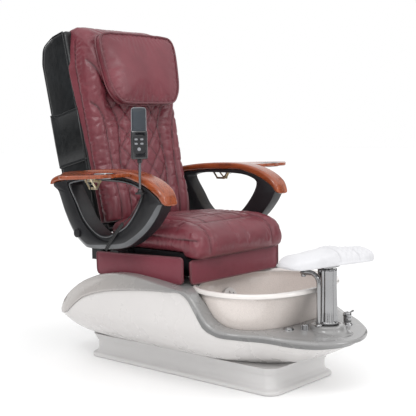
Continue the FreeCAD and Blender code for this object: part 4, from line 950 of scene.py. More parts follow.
def build_pillow():
    half = [(0.0, 0.4975), (0.124, 0.500), (0.158, 0.508), (0.182, 0.532), (0.202, 0.572),
            (0.213, 0.630),
            (0.221, 0.710), (0.219, 0.758), (0.204, 0.786), (0.172, 0.796), (0.090, 0.799)]
    outline = spline(half + [(0.0, 0.800)] + [(-x, z) for x, z in half[:0:-1]], 132, closed=True)
    centre = np.array((0.0, 0.648))

    def ring(share, depth, lift=0.0):
        flat = centre + (outline - centre) * share + (0, lift)
        return np.column_stack([flat[:, 0], np.full(len(flat), depth), flat[:, 1]])

    rings = [ring(0.05, -0.121)] + [ring(s, -0.121) for s in (0.35, 0.65, 0.88)]
    rings += [ring(0.965, -0.1225), ring(0.990, -0.128), ring(1.0, -0.136), ring(1.0, -0.148),
              ring(0.985, -0.156), ring(0.94, -0.161), ring(0.86, -0.164), ring(0.65, -0.167),
              ring(0.35, -0.169), ring(0.05, -0.169)]
    pillow = piece("pillow_leather", skin(rings), MATERIALS["burgundy"], None)

    def pinned(points):
        flat = points[:, (0, 2)]
        edge = distance_to(flat, np.vstack([outline, outline[:1]]))
        return (points[:, 1] > -0.125) | (edge < 0.004)

    puff(pillow, pinned, pressure=3.0, grow=0.008, cap=0.011, cell=0.005)
    rng = np.random.default_rng(7)
    puckers = []
    for k in range(0, 132, 3):
        x, z = outline[k]
        inward = (centre - outline[k]) / np.linalg.norm(centre - outline[k])
        low = z < 0.53 or (x < -0.12 and z > 0.74)
        reach = rng.uniform(0.020, 0.050) if low else rng.uniform(0.008, 0.022)
        turn = rng.uniform(-0.25, 0.25)
        step = np.array((inward[0] - turn * inward[1], inward[1] + turn * inward[0])) * reach
        puckers.append(([(x, z), (x + step[0], z + step[1])], rng.uniform(0.0012, 0.0032), 0.0045))
    carve(pillow, lambda p: p[:, (0, 2)], lambda p, n: np.clip(-n[:, 1], 0, 1), [], puckers)
    subdivided(pillow)
    for name, depth, share in (("front", -0.1565, 0.994), ("rear", -0.1285, 0.999)):
        path = ring(share, depth)
        path = path + np.sin(np.linspace(0, 2 * math.pi * 23, len(path)))[:, None] * 0.0006
        verts, faces = skin(tube_rings(np.vstack([path, path[:1]]), 0.0045, 8), caps=False)
        piece(f"pillow_piping_{name}", (verts, faces), MATERIALS["piping"], "pillow",
              place=BACK)
    run = ring(0.945, 0.0)[:, (0, 2)]
    points, _ = laid(pillow, run, lambda s: (s[0], -0.4, s[1]), (0, 1, 0), 0.0003)
    stitches("pillow_stitches", [points], MATERIALS["piping"], "pillow", BACK)
    pillow.data.transform(BACK)
    settle(pillow, "pillow", ["pillow"])


SEAT_SEAMS = mirrored([[(0.192, -0.26), (0.192, -0.10), (0.190, 0.10), (0.188, 0.245)]])
SEAT_CROSS = [[(-0.192, -0.150), (0.0, -0.152), (0.192, -0.150)]]
SEAT_QUILT = mirrored([[(0.118, -0.150), (0.118, 0.050)]]) + [
    [(-0.118, -0.075), (0.118, -0.075)], [(-0.118, 0.000), (0.118, 0.000)],
    [(0.0, -0.150), (0.0, 0.050)], [(-0.118, 0.050), (0.118, 0.050)]]


def build_seat_cushion():
    profile = [(-0.225, 0.481), (-0.170, 0.486), (-0.168, 0.502), (0.0, 0.503), (0.236, 0.503),
               (0.238, 0.545), (0.236, 0.575), (0.222, 0.596), (0.190, 0.607), (0.118, 0.6135),
               (0.020, 0.6155), (-0.085, 0.6155), (-0.140, 0.612), (-0.185, 0.602), (-0.215, 0.586),
               (-0.234, 0.562), (-0.243, 0.530), (-0.2435, 0.505), (-0.238, 0.488)]
    fine = [profile[0], (-0.195, 0.481), profile[1], profile[2], (-0.08, 0.503), profile[3],
            (0.12, 0.503)] + profile[4:]
    fine = np.array(fine)
    middle = np.array((0.0, 0.555))
    rings = []
    for x in np.concatenate([[-0.265, -0.2645, -0.262, -0.256], np.linspace(-0.244, 0.244, 33),
                             [0.256, 0.262, 0.2645, 0.265]]):
        edge = max(0.0, (abs(x) - 0.225) / 0.040)
        shrink = 1 - 0.13 * edge ** 3
        shape = middle + (fine - middle) * (1 - 0.035 * edge ** 3, shrink)
        upper = shape[:, 1] > 0.56
        shape[:, 1] += upper * 0.005 * math.exp(-((abs(x) - 0.222) / 0.026) ** 2)
        rings.append(np.column_stack([np.full(len(shape), x), shape]))
    cushion = piece("seat_cushion_leather", skin(rings), MATERIALS["burgundy"], None)
    seams = [np.array(line) for line in SEAT_SEAMS]

    def pinned(points):
        flat = points[:, (0, 1)]
        near = np.min([distance_to(flat, line) for line in seams + [np.array(SEAT_CROSS[0])]],
                      axis=0) < 0.006
        return (points[:, 2] < 0.506) | near

    puff(cushion, pinned, pressure=3.4, grow=0.008, cap=0.013)

    def facing(p, n):
        return np.clip(n[:, 2] * 1.8 + np.clip(-n[:, 1], 0, 1) * 1.2, 0, 1) * (p[:, 2] > 0.49)

    rng = np.random.default_rng(2)
    creases = []
    for y in np.arange(-0.20, 0.21, 0.030):
        for side in (1, -1):
            start = side * 0.196
            creases.append(([(start, y),
                             (start + side * rng.uniform(0.015, 0.035),
                              y + rng.uniform(-0.01, 0.01))],
                            rng.uniform(0.0008, 0.0022), 0.006))
    carve(cushion, lambda p: p[:, (0, 1)], facing,
          [(line, 0.0080, 0.0075) for line in seams] + [(SEAT_CROSS[0], 0.0050, 0.006)]
          + [(line, 0.0030, 0.0060) for line in SEAT_QUILT], creases)
    kept = np.empty(len(cushion.data.vertices))
    cushion.data.attributes["seam"].data.foreach_get("value", kept)
    cushion.data.attributes.remove(cushion.data.attributes["seam"])
    gathers = []
    for y in np.arange(-0.225, 0.22, 0.019):
        lean = rng.uniform(-0.008, 0.008)
        gathers.append(([(y, 0.556), (y + lean, 0.556 - rng.uniform(0.015, 0.040))],
                        rng.uniform(0.0014, 0.0034), 0.0045))
        gathers.append(([(y, 0.562), (y - lean, 0.562 + rng.uniform(0.006, 0.018))],
                        rng.uniform(0.0010, 0.0022), 0.0045))
    carve(cushion, lambda p: p[:, (1, 2)],
          lambda p, n: np.clip(np.abs(n[:, 0]) * 1.5 - 0.2, 0, 1) * (np.abs(p[:, 0]) > 0.22),
          [([(-0.26, 0.552), (0.0, 0.560), (0.25, 0.560)], 0.0060, 0.0055)], gathers)
    both = np.empty(len(kept))
    cushion.data.attributes["seam"].data.foreach_get("value", both)
    cushion.data.attributes["seam"].data.foreach_set("value",
                                                     np.maximum(both, kept).astype(np.float32))
    subdivided(cushion)
    runs = []
    for line in seams + [np.array(SEAT_CROSS[0])] + [np.array(q) for q in SEAT_QUILT]:
        for shift in (-0.0055, 0.0055):
            straight = abs(line[0][0] - line[-1][0]) < 0.02
            path = [(x + (shift if straight else 0), y + (0 if straight else shift)) for x,
                    y in spline(line, 50)]
            points, _ = laid(cushion, path, lambda s: (s[0], s[1], 0.8), (0, 0, -1), 0.0002)
            runs.append(points)
    stitches("seat_stitches", runs, MATERIALS["piping"], "seat")
    settle(cushion, "seat", ["seat_cushion"])


def panel(name, outline, thickness, body, material, node, place, bulge=0.004):
    """A padded panel from an outline in x and y, thickness along z from 0, with a piped edge."""
    outline = np.asarray(outline)
    centre = outline.mean(axis=0)
    half = np.abs(outline - centre).max(axis=0)

    def ring(inset, level):
        return at_level(centre + (outline - centre) * (1 - np.minimum(inset / half, 0.96)), level)

    rings = [ring(0.030, 0.0), ring(0.006, 0.0), ring(0.002, 0.001), ring(0.001, thickness * 0.4),
             ring(0.002, thickness * 0.8), ring(0.006, thickness * 0.93),
             ring(0.010, thickness * 0.90),
             ring(0.014, thickness * 0.96), ring(0.022, thickness + bulge * 0.4),
             ring(0.033, thickness + bulge * 0.8), ring(0.043, thickness + bulge)]
    made = piece(f"{name}_leather", skin(rings), material, body, [node], place=place)
    path = ring(0.0015, thickness * 0.80)
    piece(f"{name}_piping", skin(tube_rings(np.vstack([path, path[:1]]), 0.0033, 8), caps=False),
          MATERIALS["piping"], body, place=place)


def rounded(corners, radii, steps=7):
    """A closed outline with its corners turned to arcs, resampled evenly."""
    corners = np.asarray(corners, float)
    out = []
    for before, corner, after, radius in zip(np.roll(corners, 1, 0), corners,
                                             np.roll(corners, -1, 0), radii):
        to_before = (before - corner) / np.linalg.norm(before - corner)
        to_after = (after - corner) / np.linalg.norm(after - corner)
        angle = math.acos(np.clip(to_before @ to_after, -1, 1))
        reach = min(radius / math.tan(angle / 2), 0.45 * np.linalg.norm(before - corner),
                    0.45 * np.linalg.norm(after - corner))
        a, b = corner + to_before * reach, corner + to_after * reach
        for t in np.linspace(0, 1, steps):
            out.append((1 - t) ** 2 * a + 2 * t * (1 - t) * corner + t * t * b)
    return np.array(out)


def resampled(outline, count):
    closed = np.vstack([outline, outline[:1]])
    run = np.concatenate([[0], np.cumsum(np.linalg.norm(np.diff(closed, axis=0), axis=1))])
    wanted = np.linspace(0, run[-1], count, endpoint=False)
    return np.column_stack([np.interp(wanted, run, closed[:, k]) for k in range(closed.shape[1])])


def build_skirts():
    front = rounded([(-0.268, 0.386), (0.268, 0.386), (0.273, 0.478), (-0.273, 0.478)],
                    (0.016, 0.016, 0.012, 0.012))
    to_front = Matrix(((1, 0, 0, 0), (0, 0, -1, -0.194), (0, 1, 0, 0), (0, 0, 0, 1)))
    panel("front_skirt", resampled(front, 120), 0.0115, "seat",
          MATERIALS["skirt"],
          "front_skirt", to_front, 0.003)
    side = rounded([(-0.189, 0.389), (0.285, 0.386), (0.288, 0.478), (-0.189, 0.492)],
                   (0.016, 0.022, 0.010, 0.014))
    for name, sign in SIDES:
        place = Matrix(((0, 0, sign, sign * 0.2895), (1, 0, 0, 0), (0, 1, 0, 0), (0, 0, 0, 1)))
        panel(f"side_skirt_{name}", resampled(side, 120), 0.0115, "seat",
              MATERIALS["skirt"], f"side_skirt_{name}", place, 0.002)


def build_shell():
    """The padded black case behind the backrest, and the band round its sides."""
    outline = rounded([(0.014, 0.012), (0.150, 0.012), (0.195, 0.060), (0.195, 0.760),
                       (0.172, 0.828),
                       (0.100, 0.853), (0.014, 0.856)],
                       (0.004, 0.020, 0.030, 0.080, 0.050, 0.050, 0.012))
    outline = resampled(outline, 150)
    centre = np.array((0.105, 0.44))
    rings = []
    for x, inset in ((-0.2475, 0.016), (-0.2465, 0.008), (-0.2440, 0.0035), (-0.2400, 0.001),
                     (-0.235, 0.0),
                     (-0.12, 0.0), (0.0, 0.0), (0.12, 0.0), (0.235, 0.0), (0.2400, 0.001),
                     (0.2440, 0.0035), (0.2465, 0.008), (0.2475, 0.016)):
        away = outline - centre
        limit = np.maximum(np.abs(away) - inset, 0) * np.sign(away)
        shape = centre + limit
        rings.append(np.column_stack([np.full(len(shape), x), shape]))
    piece("back_shell_leather", skin(rings), MATERIALS["black_leather"], "back",
          ["back_shell"], place=BACK)
    for name, sign in SIDES:
        path = [(sign * 0.2465, 0.030, v) for v in np.linspace(0.02, 0.855, 60)]
        piece(f"shell_piping_{name}", skin(tube_rings(path, 0.0032, 8)), MATERIALS["black_leather"],
              "back", place=BACK)
        rear = [(sign * 0.2435, w, v) for w, v in resampled(outline, 150)[6:140]
                if w > 0.03]
        piece(f"shell_rear_piping_{name}", skin(tube_rings(rear, 0.0026, 8)),
              MATERIALS["black_leather"],
              "back", place=BACK)
    rear_panel = rounded([(-0.20, 0.09), (0.20, 0.09), (0.20, 0.76), (-0.20, 0.76)], (0.03,) * 4)
    rear_panel = resampled(rear_panel, 120)
    ring = np.column_stack([rear_panel[:, 0], np.full(120, 0.1955), rear_panel[:, 1]])
    piece("rear_panel_piping", skin(tube_rings(np.vstack([ring, ring[:1]]), 0.0026, 8), caps=False),
          MATERIALS["black_leather"], "back", place=BACK)
    loop = rounded([(-0.2525, 0.020), (0.2525, 0.020), (0.2525, 0.1985), (-0.2525, 0.1985)],
                   (0.002, 0.016, 0.016, 0.002))
    loop = resampled(loop, 200)
    rings = []
    for level, grow in ((0.300, -0.0032), (0.3005, -0.0008), (0.303, 0.0), (0.309, 0.0),
                        (0.3105, -0.0012),
                        (0.312, 0.0), (0.40, 0.0008), (0.513, 0.0), (0.5145, -0.0012), (0.516, 0.0),
                        (0.522, 0.0), (0.5245, -0.0008), (0.525, -0.0032)):
        flare = 0.010 * math.exp(-((level - 0.525) / 0.018) ** 2)
        shape = loop * (1 + grow / 0.25, 1)
        corner = np.clip((shape[:, 1] - 0.15) / 0.05, 0,
                         1) * np.clip((np.abs(shape[:, 0]) - 0.2) / 0.05, 0, 1)
        rings.append(np.column_stack([shape[:, 0], shape[:, 1], level + flare * corner]))
    band = piece("side_band_leather", skin(rings, caps=False), MATERIALS["black_leather"], "back",
                 ["back_side_band"], place=BACK)
    modifier(band, "SOLIDIFY", thickness=0.0035, offset=-1)


# ---------------------------------------------------------------- arms and trays

LOOP_LOW = ((0.451, 0.745), (0.428, 0.724), (0.389, 0.639), (0.339, 0.561), (0.282, 0.516),
            (0.242, 0.503), (0.130, 0.507), (0.049, 0.518), (-0.004, 0.539), (-0.082, 0.593),
            (-0.134, 0.650), (-0.165, 0.701))
PAD_LOW = ((0.451, 0.752), (0.416, 0.764), (0.250, 0.783), (0.064, 0.789), (-0.004, 0.781),
           (-0.080, 0.758), (-0.139, 0.726), (-0.165, 0.701))
PAD_HIGH = ((0.466, 0.752), (0.460, 0.772), (0.415, 0.790), (0.300, 0.808), (0.180, 0.817),
            (0.060, 0.818), (-0.005, 0.812), (-0.071, 0.796), (-0.130, 0.770), (-0.168, 0.738),
            (-0.182, 0.701))
LOOP_OPENING = ((0.337, 0.745), (0.293, 0.679), (0.249, 0.616), (0.184, 0.570), (0.129, 0.562),
                (0.074, 0.583), (0.020, 0.612), (-0.034, 0.673), (-0.060, 0.722), (-0.050, 0.748),
                (0.015, 0.768), (0.121, 0.773), (0.243, 0.771), (0.320, 0.760))


def by_angle(line, centre, turns):
    """Where rays from a centre cross a closed line."""
    away = np.asarray(line) - centre
    angle = np.unwrap(np.arctan2(away[:, 1], away[:, 0]))
    reach = np.linalg.norm(away, axis=1)
    if angle[-1] < angle[0]:
        angle, reach = angle[::-1], reach[::-1]
    angle = np.concatenate([angle - 2 * math.pi, angle, angle + 2 * math.pi])
    reach = np.tile(reach, 3)
    at = np.interp(turns, angle, reach)
    return np.column_stack([centre[0] + at * np.cos(turns), centre[1] + at * np.sin(turns)])


def build_arm_loop(name, sign):
    low, top = spline(LOOP_LOW, 200), spline(PAD_LOW, 160)
    outer_line = np.vstack([low, top[::-1]])
    inner_line = spline(LOOP_OPENING, 300, closed=True)
    centre = (0.130, 0.672)
    fine = by_angle(outer_line, centre, np.linspace(-math.pi, math.pi, 1440, endpoint=False))
    even = resampled(fine, 220)
    turns = np.arctan2(even[:, 1] - centre[1], even[:, 0] - centre[0])
    outer = by_angle(outer_line, centre, turns)
    inner = by_angle(inner_line, centre, turns)
    under = np.array([1.0 if z < along(np.clip(y, -0.165, 0.451), PAD_LOW[::-1]) - 0.012 else 0.0
                      for y, z in outer])
    for _ in range(6):
        under = (np.roll(under, 1) + under + np.roll(under, -1)) / 3
    inward = inner - outer
    wide = np.linalg.norm(inward, axis=1)[:, None]
    inward = inward / wide
    bevel = (0.003 + 0.013 * under)[:, None]
    # across the section: height over the loop's inner face, and distance in from the outer edge
    section = ((0.006, 0.0), (0.0015, 0.0015), (0.0, 0.006))
    rings = []
    for height, inset in section[::-1]:
        rings.append((height, outer + inward * inset))
    rings += [(0.056, outer), (0.058, outer + inward * 0.0005), (0.0685, outer + inward * bevel),
              (0.0700, outer + inward * (bevel + 0.003))]
    for height, back in ((0.0700, 0.026), (0.0690, 0.0235), (0.0640, 0.0220), (0.0640, 0.0120),
                         (0.0680, 0.0105), (0.0700, 0.0085), (0.0700, 0.0035), (0.0680, 0.0006),
                         (0.0640, 0.0), (0.006, 0.0), (0.0015, 0.0015), (0.0, 0.006)):
        rings.append((height, inner - inward * back))
    loops = [np.column_stack([np.full(len(flat), sign * (0.315 + height)), flat]) for height,
             flat in rings]
    verts, faces = skin(loops, caps=False, wrap=True)
    arm = piece(f"arm_loop_{name}", (verts, faces), MATERIALS["black_plastic"], f"arm_{name}",
                [f"arm_frame_{name}"], crease=45)
    # painted highlight: the wide under bevel faces get the grey band material
    arm.data.materials.append(MATERIALS["band"])
    count = len(outer)
    for face in arm.data.polygons:
        ring, station = min(face.vertices) // count, min(face.vertices) % count
        if ring in (4, 5) and under[station] > 0.3:
            face.material_index = 1
    # the rim round the opening in the same grey, a painted highlight on its edge
    rim = [(sign * 0.3845, y, z) for y, z in inner - inward * 0.0065]
    piece(f"arm_rim_{name}", skin(tube_rings(np.vstack([rim, rim[:1]]), 0.0024, 8), caps=False),
          MATERIALS["band"], f"arm_{name}")


def build_arm_pad(name, sign):
    low, high = spline(PAD_LOW, 70), spline(PAD_HIGH, 70)
    rings = []
    for share, (a, b) in enumerate(zip(low, high)):
        middle, half = (a + b) / 2, np.linalg.norm(b - a) / 2
        rise = (b - a) / (2 * half)
        t = share / 69
        taper = 1 - 0.10 * max(0.0, (t - 0.92) / 0.08) ** 2
        section = rounded_box(0.0412 * taper, half, min(0.013, half * 0.92), 7)
        rings.append([(sign * (0.3465 + x), *(middle + rise * z)) for x, z in section])
    start, end = np.array(rings[0]), np.array(rings[-1])
    tip = end.mean(axis=0) + (end - end.mean(axis=0)) * 0.82 + (0, -0.004, -0.007)
    tip2 = end.mean(axis=0) + (end - end.mean(axis=0)) * 0.45 + (0, -0.006, -0.0105)
    tail = start.mean(axis=0) + (start - start.mean(axis=0)) * 0.8 + (0, 0.004, -0.001)
    rings = [tail] + [np.array(r) for r in rings] + [tip, tip2]
    piece(f"arm_wood_{name}", skin(rings), MATERIALS["wood"], f"arm_{name}",
          [f"arm_pad_{name}"], crease=50)


def build_tray(name, sign):
    outline = rounded([(0.392, -0.030), (0.570, -0.034), (0.688, 0.050), (0.500, 0.245),
                       (0.392, 0.292)],
                      (0.020, 0.055, 0.040, 0.060, 0.020), 14)
    outline = resampled(outline, 200)
    hole = np.array((0.505, 0.008))
    turns = np.arctan2(outline[:, 1] - hole[1], outline[:, 0] - hole[0])
    edge = by_angle(outline, hole, turns)
    ring = hole + 0.0425 * np.column_stack([np.cos(turns), np.sin(turns)])
    away = (edge - hole) / np.linalg.norm(edge - hole, axis=1)[:, None]
    rings = [at_level(ring, 0.797)]
    for inset, level in ((0.040, 0.797), (0.0045, 0.797), (0.0015, 0.7985), (0.0, 0.802),
                         (0.0, 0.8065),
                         (0.0015, 0.8095), (0.0045, 0.811), (0.012, 0.8112)):
        rings.append(at_level(edge - away * inset, level))
    rings += [at_level(edge * 0.5 + ring * 0.5, 0.8112), at_level(ring + away * 0.0012, 0.8112),
              at_level(ring, 0.810)]
    verts, faces = skin(rings, caps=False, wrap=True)
    verts = verts * (sign, 1, 1)
    piece(f"tray_wood_{name}", (verts, faces), MATERIALS["wood"], f"tray_{name}",
          [f"tray_board_{name}"], crease=50)


def build_dish(name):
    low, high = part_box(f"tray_dish_{name}")
    centre = ((low[0] + high[0]) / 2, (low[1] + high[1]) / 2)
    base, top, reach = low[2], high[2], (high[0] - low[0]) / 2
    rings = [(0.001, base), (0.020, base), (0.028, base + 0.002), (0.034, base + 0.008),
             (0.0385, 0.795), (0.0402, 0.8085), (reach - 0.003, 0.8118), (reach - 0.001, 0.8122),
             (reach, top - 0.0004), (reach - 0.002, top), (0.0415, top + 0.0003),
             (0.0385, top - 0.001),
             (0.0365, top - 0.004), (0.0345, 0.796), (0.030, base + 0.010), (0.024, base + 0.004),
             (0.001, base + 0.002)]
    piece(f"tray_cup_{name}", skin(lathe(rings, 64)), MATERIALS["chrome"], f"tray_{name}",
          [f"tray_dish_{name}"], place=Matrix.Translation((*centre, 0)), crease=50)


build_back_cushion()
build_pillow()
build_seat_cushion()
build_skirts()
build_shell()
for side_name, side_sign in SIDES:
    build_arm_loop(side_name, side_sign)
    build_arm_pad(side_name, side_sign)
    build_tray(side_name, side_sign)
    build_dish(side_name)


def build_footrest():
    low = 0.4713
    heights = ((-0.208, 0.018), (-0.186, 0.041), (-0.129, 0.053), (-0.058, 0.062), (0.0, 0.071),
               (0.058, 0.063), (0.129, 0.056), (0.186, 0.044), (0.208, 0.018))
    place = Matrix.Translation((0, COLUMN_Y, 0)) @ Matrix.Rotation(math.radians(-13), 4, "Z")
    rings = []
    for x in np.concatenate([[-0.2078, -0.205, -0.201, -0.194], np.linspace(-0.184, 0.184, 72),
                             [0.194, 0.201, 0.205, 0.2078]]):
        end = max(0.0, (abs(x) - 0.173) / 0.035)
        wide = 0.059 * math.sqrt(max(0.06, 1 - end ** 2.6)) * (1 - 0.05 * math.cos(x * 26))
        tall = along(x, heights) * (1 - 0.35 * end ** 3)
        base = low + 0.010 * end ** 2
        turn = np.linspace(0, math.pi, 27)
        y = np.cos(turn) * wide
        z = base + 0.006 + (tall - 0.006) * np.sin(turn) ** 0.62
        under = [(-wide * 0.98, base + 0.003), (-wide * 0.93, base), (0, base), (wide * 0.93, base),
                 (wide * 0.98, base + 0.003)]
        section = np.vstack([np.column_stack([y, z]), under])
        rings.append(np.column_stack([np.full(len(section), x), section]))
    pad = piece("footrest_leather", skin(rings), MATERIALS["white_leather"], None)
    modifier(pad, "REMESH", mode="VOXEL", voxel_size=0.0035)
    graph = bpy.context.evaluated_depsgraph_get()
    mesh = bpy.data.meshes.new_from_object(pad.evaluated_get(graph))
    pad.modifiers.clear()
    pad.data = mesh
    folds = [([(-0.075, 0.062), (-0.050, 0.030), (-0.005, -0.020), (0.022, -0.062)], 0.0095,
              0.0090),
             ([(0.045, 0.062), (0.078, 0.020), (0.100, -0.020), (0.112, -0.062)], 0.0085, 0.0085),
             ([(-0.128, 0.062), (-0.108, 0.030), (-0.092, 0.010)], 0.0050, 0.0085)]
    spacing = 0.026

    def inside(flat):
        left = np.interp(flat[:, 1], (-0.062, -0.020, 0.030, 0.062), (0.032, 0.004, -0.040, -0.065))
        return np.clip((flat[:, 0] - left) / 0.01, 0, 1) * np.clip((0.185 - flat[:, 0]) / 0.01, 0,
                                                                   1) * 0.40

    quilt = (inside, ((lambda f: (f[:, 0] + f[:, 1]) / spacing, math.sqrt(2) / spacing),
                      (lambda f: (f[:, 0] - f[:, 1]) / spacing, math.sqrt(2) / spacing)))
    carve(pad, lambda p: p[:, :2], lambda p,
          n: np.clip(n[:, 2] * 1.5 + 0.5, 0, 1) * (p[:, 2] > low + 0.008),
          folds, [([(-0.16, 0.02), (-0.09, 0.012)], 0.0012, 0.012)], quilt)
    subdivided(pad)
    pad.data.transform(place)
    settle(pad, "footrest_top", ["footrest_pad"])
    outline = [(x, y) for x, y in superellipse(0.194, 0.0535, 6, 160)]
    path = at_level(np.array(outline), low + 0.0035)
    piece("footrest_welt", skin(tube_rings(np.vstack([path, path[:1]]), 0.0026, 8), caps=False),
          MATERIALS["white_leather"], "footrest_top", place=place)


def turned(name, profile, material, body, centre, replaces=(), flutes=0, depth=0.0, sides=64,
           crease=45):
    piece(name, skin(lathe(profile, sides, flutes, depth)), MATERIALS[material], body,
          replaces,
          place=Matrix.Translation((*centre, 0)), crease=crease)


def build_taps():
    path = [(-0.052, -0.632, z) for z in (0.232, 0.30, 0.36, 0.405)]
    path += [(-0.052, -0.632 + 0.036 * (1 - math.cos(t)), 0.405 + 0.0385 * math.sin(t))
             for t in np.linspace(0.2, math.pi / 2, 9)]
    path += [(-0.052, -0.585, 0.4435), (-0.052, -0.562, 0.4435), (-0.052, -0.5555, 0.4435)]
    radii = [0.008] * 4 + list(np.linspace(0.008, 0.0095, 9)) + [0.011, 0.0122, 0.0105]
    spout = piece("spout_pipe", skin(tube_rings(path, np.array(radii), 24)), MATERIALS["chrome"],
                  "spout",
                  ["spout"])
    modifier(spout, "SUBSURF", levels=1, render_levels=1)
    turned("spout_flange", ((0.006, 0.2505), (0.0145, 0.2505), (0.0148, 0.252), (0.0135, 0.2545),
                            (0.0105, 0.2575), (0.0085, 0.259), (0.0075, 0.259)),
           "chrome", "spout", (-0.052, -0.632))
    turned("spout_aerator", ((0.003, 0.4262), (0.0085, 0.4262), (0.0092, 0.4272), (0.0092, 0.436),
                             (0.0080, 0.440)),
           "chrome", "spout", (-0.052, -0.566), flutes=24, depth=0.06)

    seat = 0.2253
    turned("mixer_collar", ((0.010, seat), (0.0195, seat), (0.0202, seat + 0.001),
                            (0.0202, seat + 0.0035),
                            (0.0185, seat + 0.0065), (0.0155, seat + 0.008), (0.0140, seat + 0.010),
                            (0.0140, seat + 0.015), (0.0152, seat + 0.017), (0.0152, seat + 0.032),
                            (0.0145, seat + 0.0338), (0.006, seat + 0.0338)),
           "chrome", "base",
           (0.116, -0.648), ["mixer_body"], sides=8 * 9, flutes=8, depth=0.05)
    turned("mixer_cap", ((0.006, seat + 0.0343), (0.0158, seat + 0.0343), (0.0162, seat + 0.0355),
                         (0.0158, seat + 0.045), (0.0140, seat + 0.0490), (0.0105, seat + 0.0508),
                         (0.0035, seat + 0.0512), (0.0030, seat + 0.0530), (0.0005, seat + 0.0535)),
           "chrome", "mixer", (0.116, -0.648), ["mixer_lever"])
    for name, ends, reach in (("long", (0.012, 0.049), 0.0044), ("rear", (-0.012, -0.024), 0.0036)):
        path = [(0.116 + x, -0.648 + 0.10 * (x - ends[0]), seat + 0.0455 + 0.06 * abs(x - ends[0]))
                for x in np.linspace(*ends, 9)]
        radii = reach * np.array((0.85, 0.8, 0.78, 0.78, 0.82, 0.9, 1.0, 1.0, 0.7))
        piece(f"mixer_handle_{name}", skin(tube_rings(path, radii, 16)), MATERIALS["chrome"],
              "mixer")

    seat = 0.2328
    turned("diverter_grip", ((0.006, seat + 0.0004), (0.0142, seat + 0.0004),
                             (0.0146, seat + 0.002),
                             (0.0140, seat + 0.004), (0.0140, seat + 0.021),
                             (0.0128, seat + 0.0242),
                             (0.0105, seat + 0.0256), (0.0010, seat + 0.0260)),
           "chrome", "diverter", (-0.084, -0.592), ["diverter_knob"], flutes=16,
           depth=0.09, sides=128)
    path = [(-0.084 + x, -0.592, seat + 0.014) for x in np.linspace(0.010, 0.023, 6)]
    piece("diverter_key", skin(tube_rings(path, np.array((1, 1, 1, 1, 0.9, 0.6)) * 0.0042, 16)),
          MATERIALS["chrome"], "diverter")

    seat = 0.2368
    for name, ring, body, node in (
            ("air_bezel", ((0.0148, seat + 0.0035), (0.0152, seat + 0.0095),
                           (0.0165, seat + 0.0104),
                           (0.0185, seat + 0.0098), (0.0203, seat + 0.006), (0.0212, seat + 0.001),
                           (0.0212, seat)), "base", "air_button_bezel"),
            ("air_cap", ((0.0138, seat + 0.008), (0.0140, seat + 0.0105), (0.0132, seat + 0.0122),
                         (0.0100, seat + 0.0134), (0.0055, seat + 0.0140), (0.0004, seat + 0.0142)),
             "air_switch", "air_button")):
        turned(name, ring, "chrome", body, (-0.130, -0.552), [node])


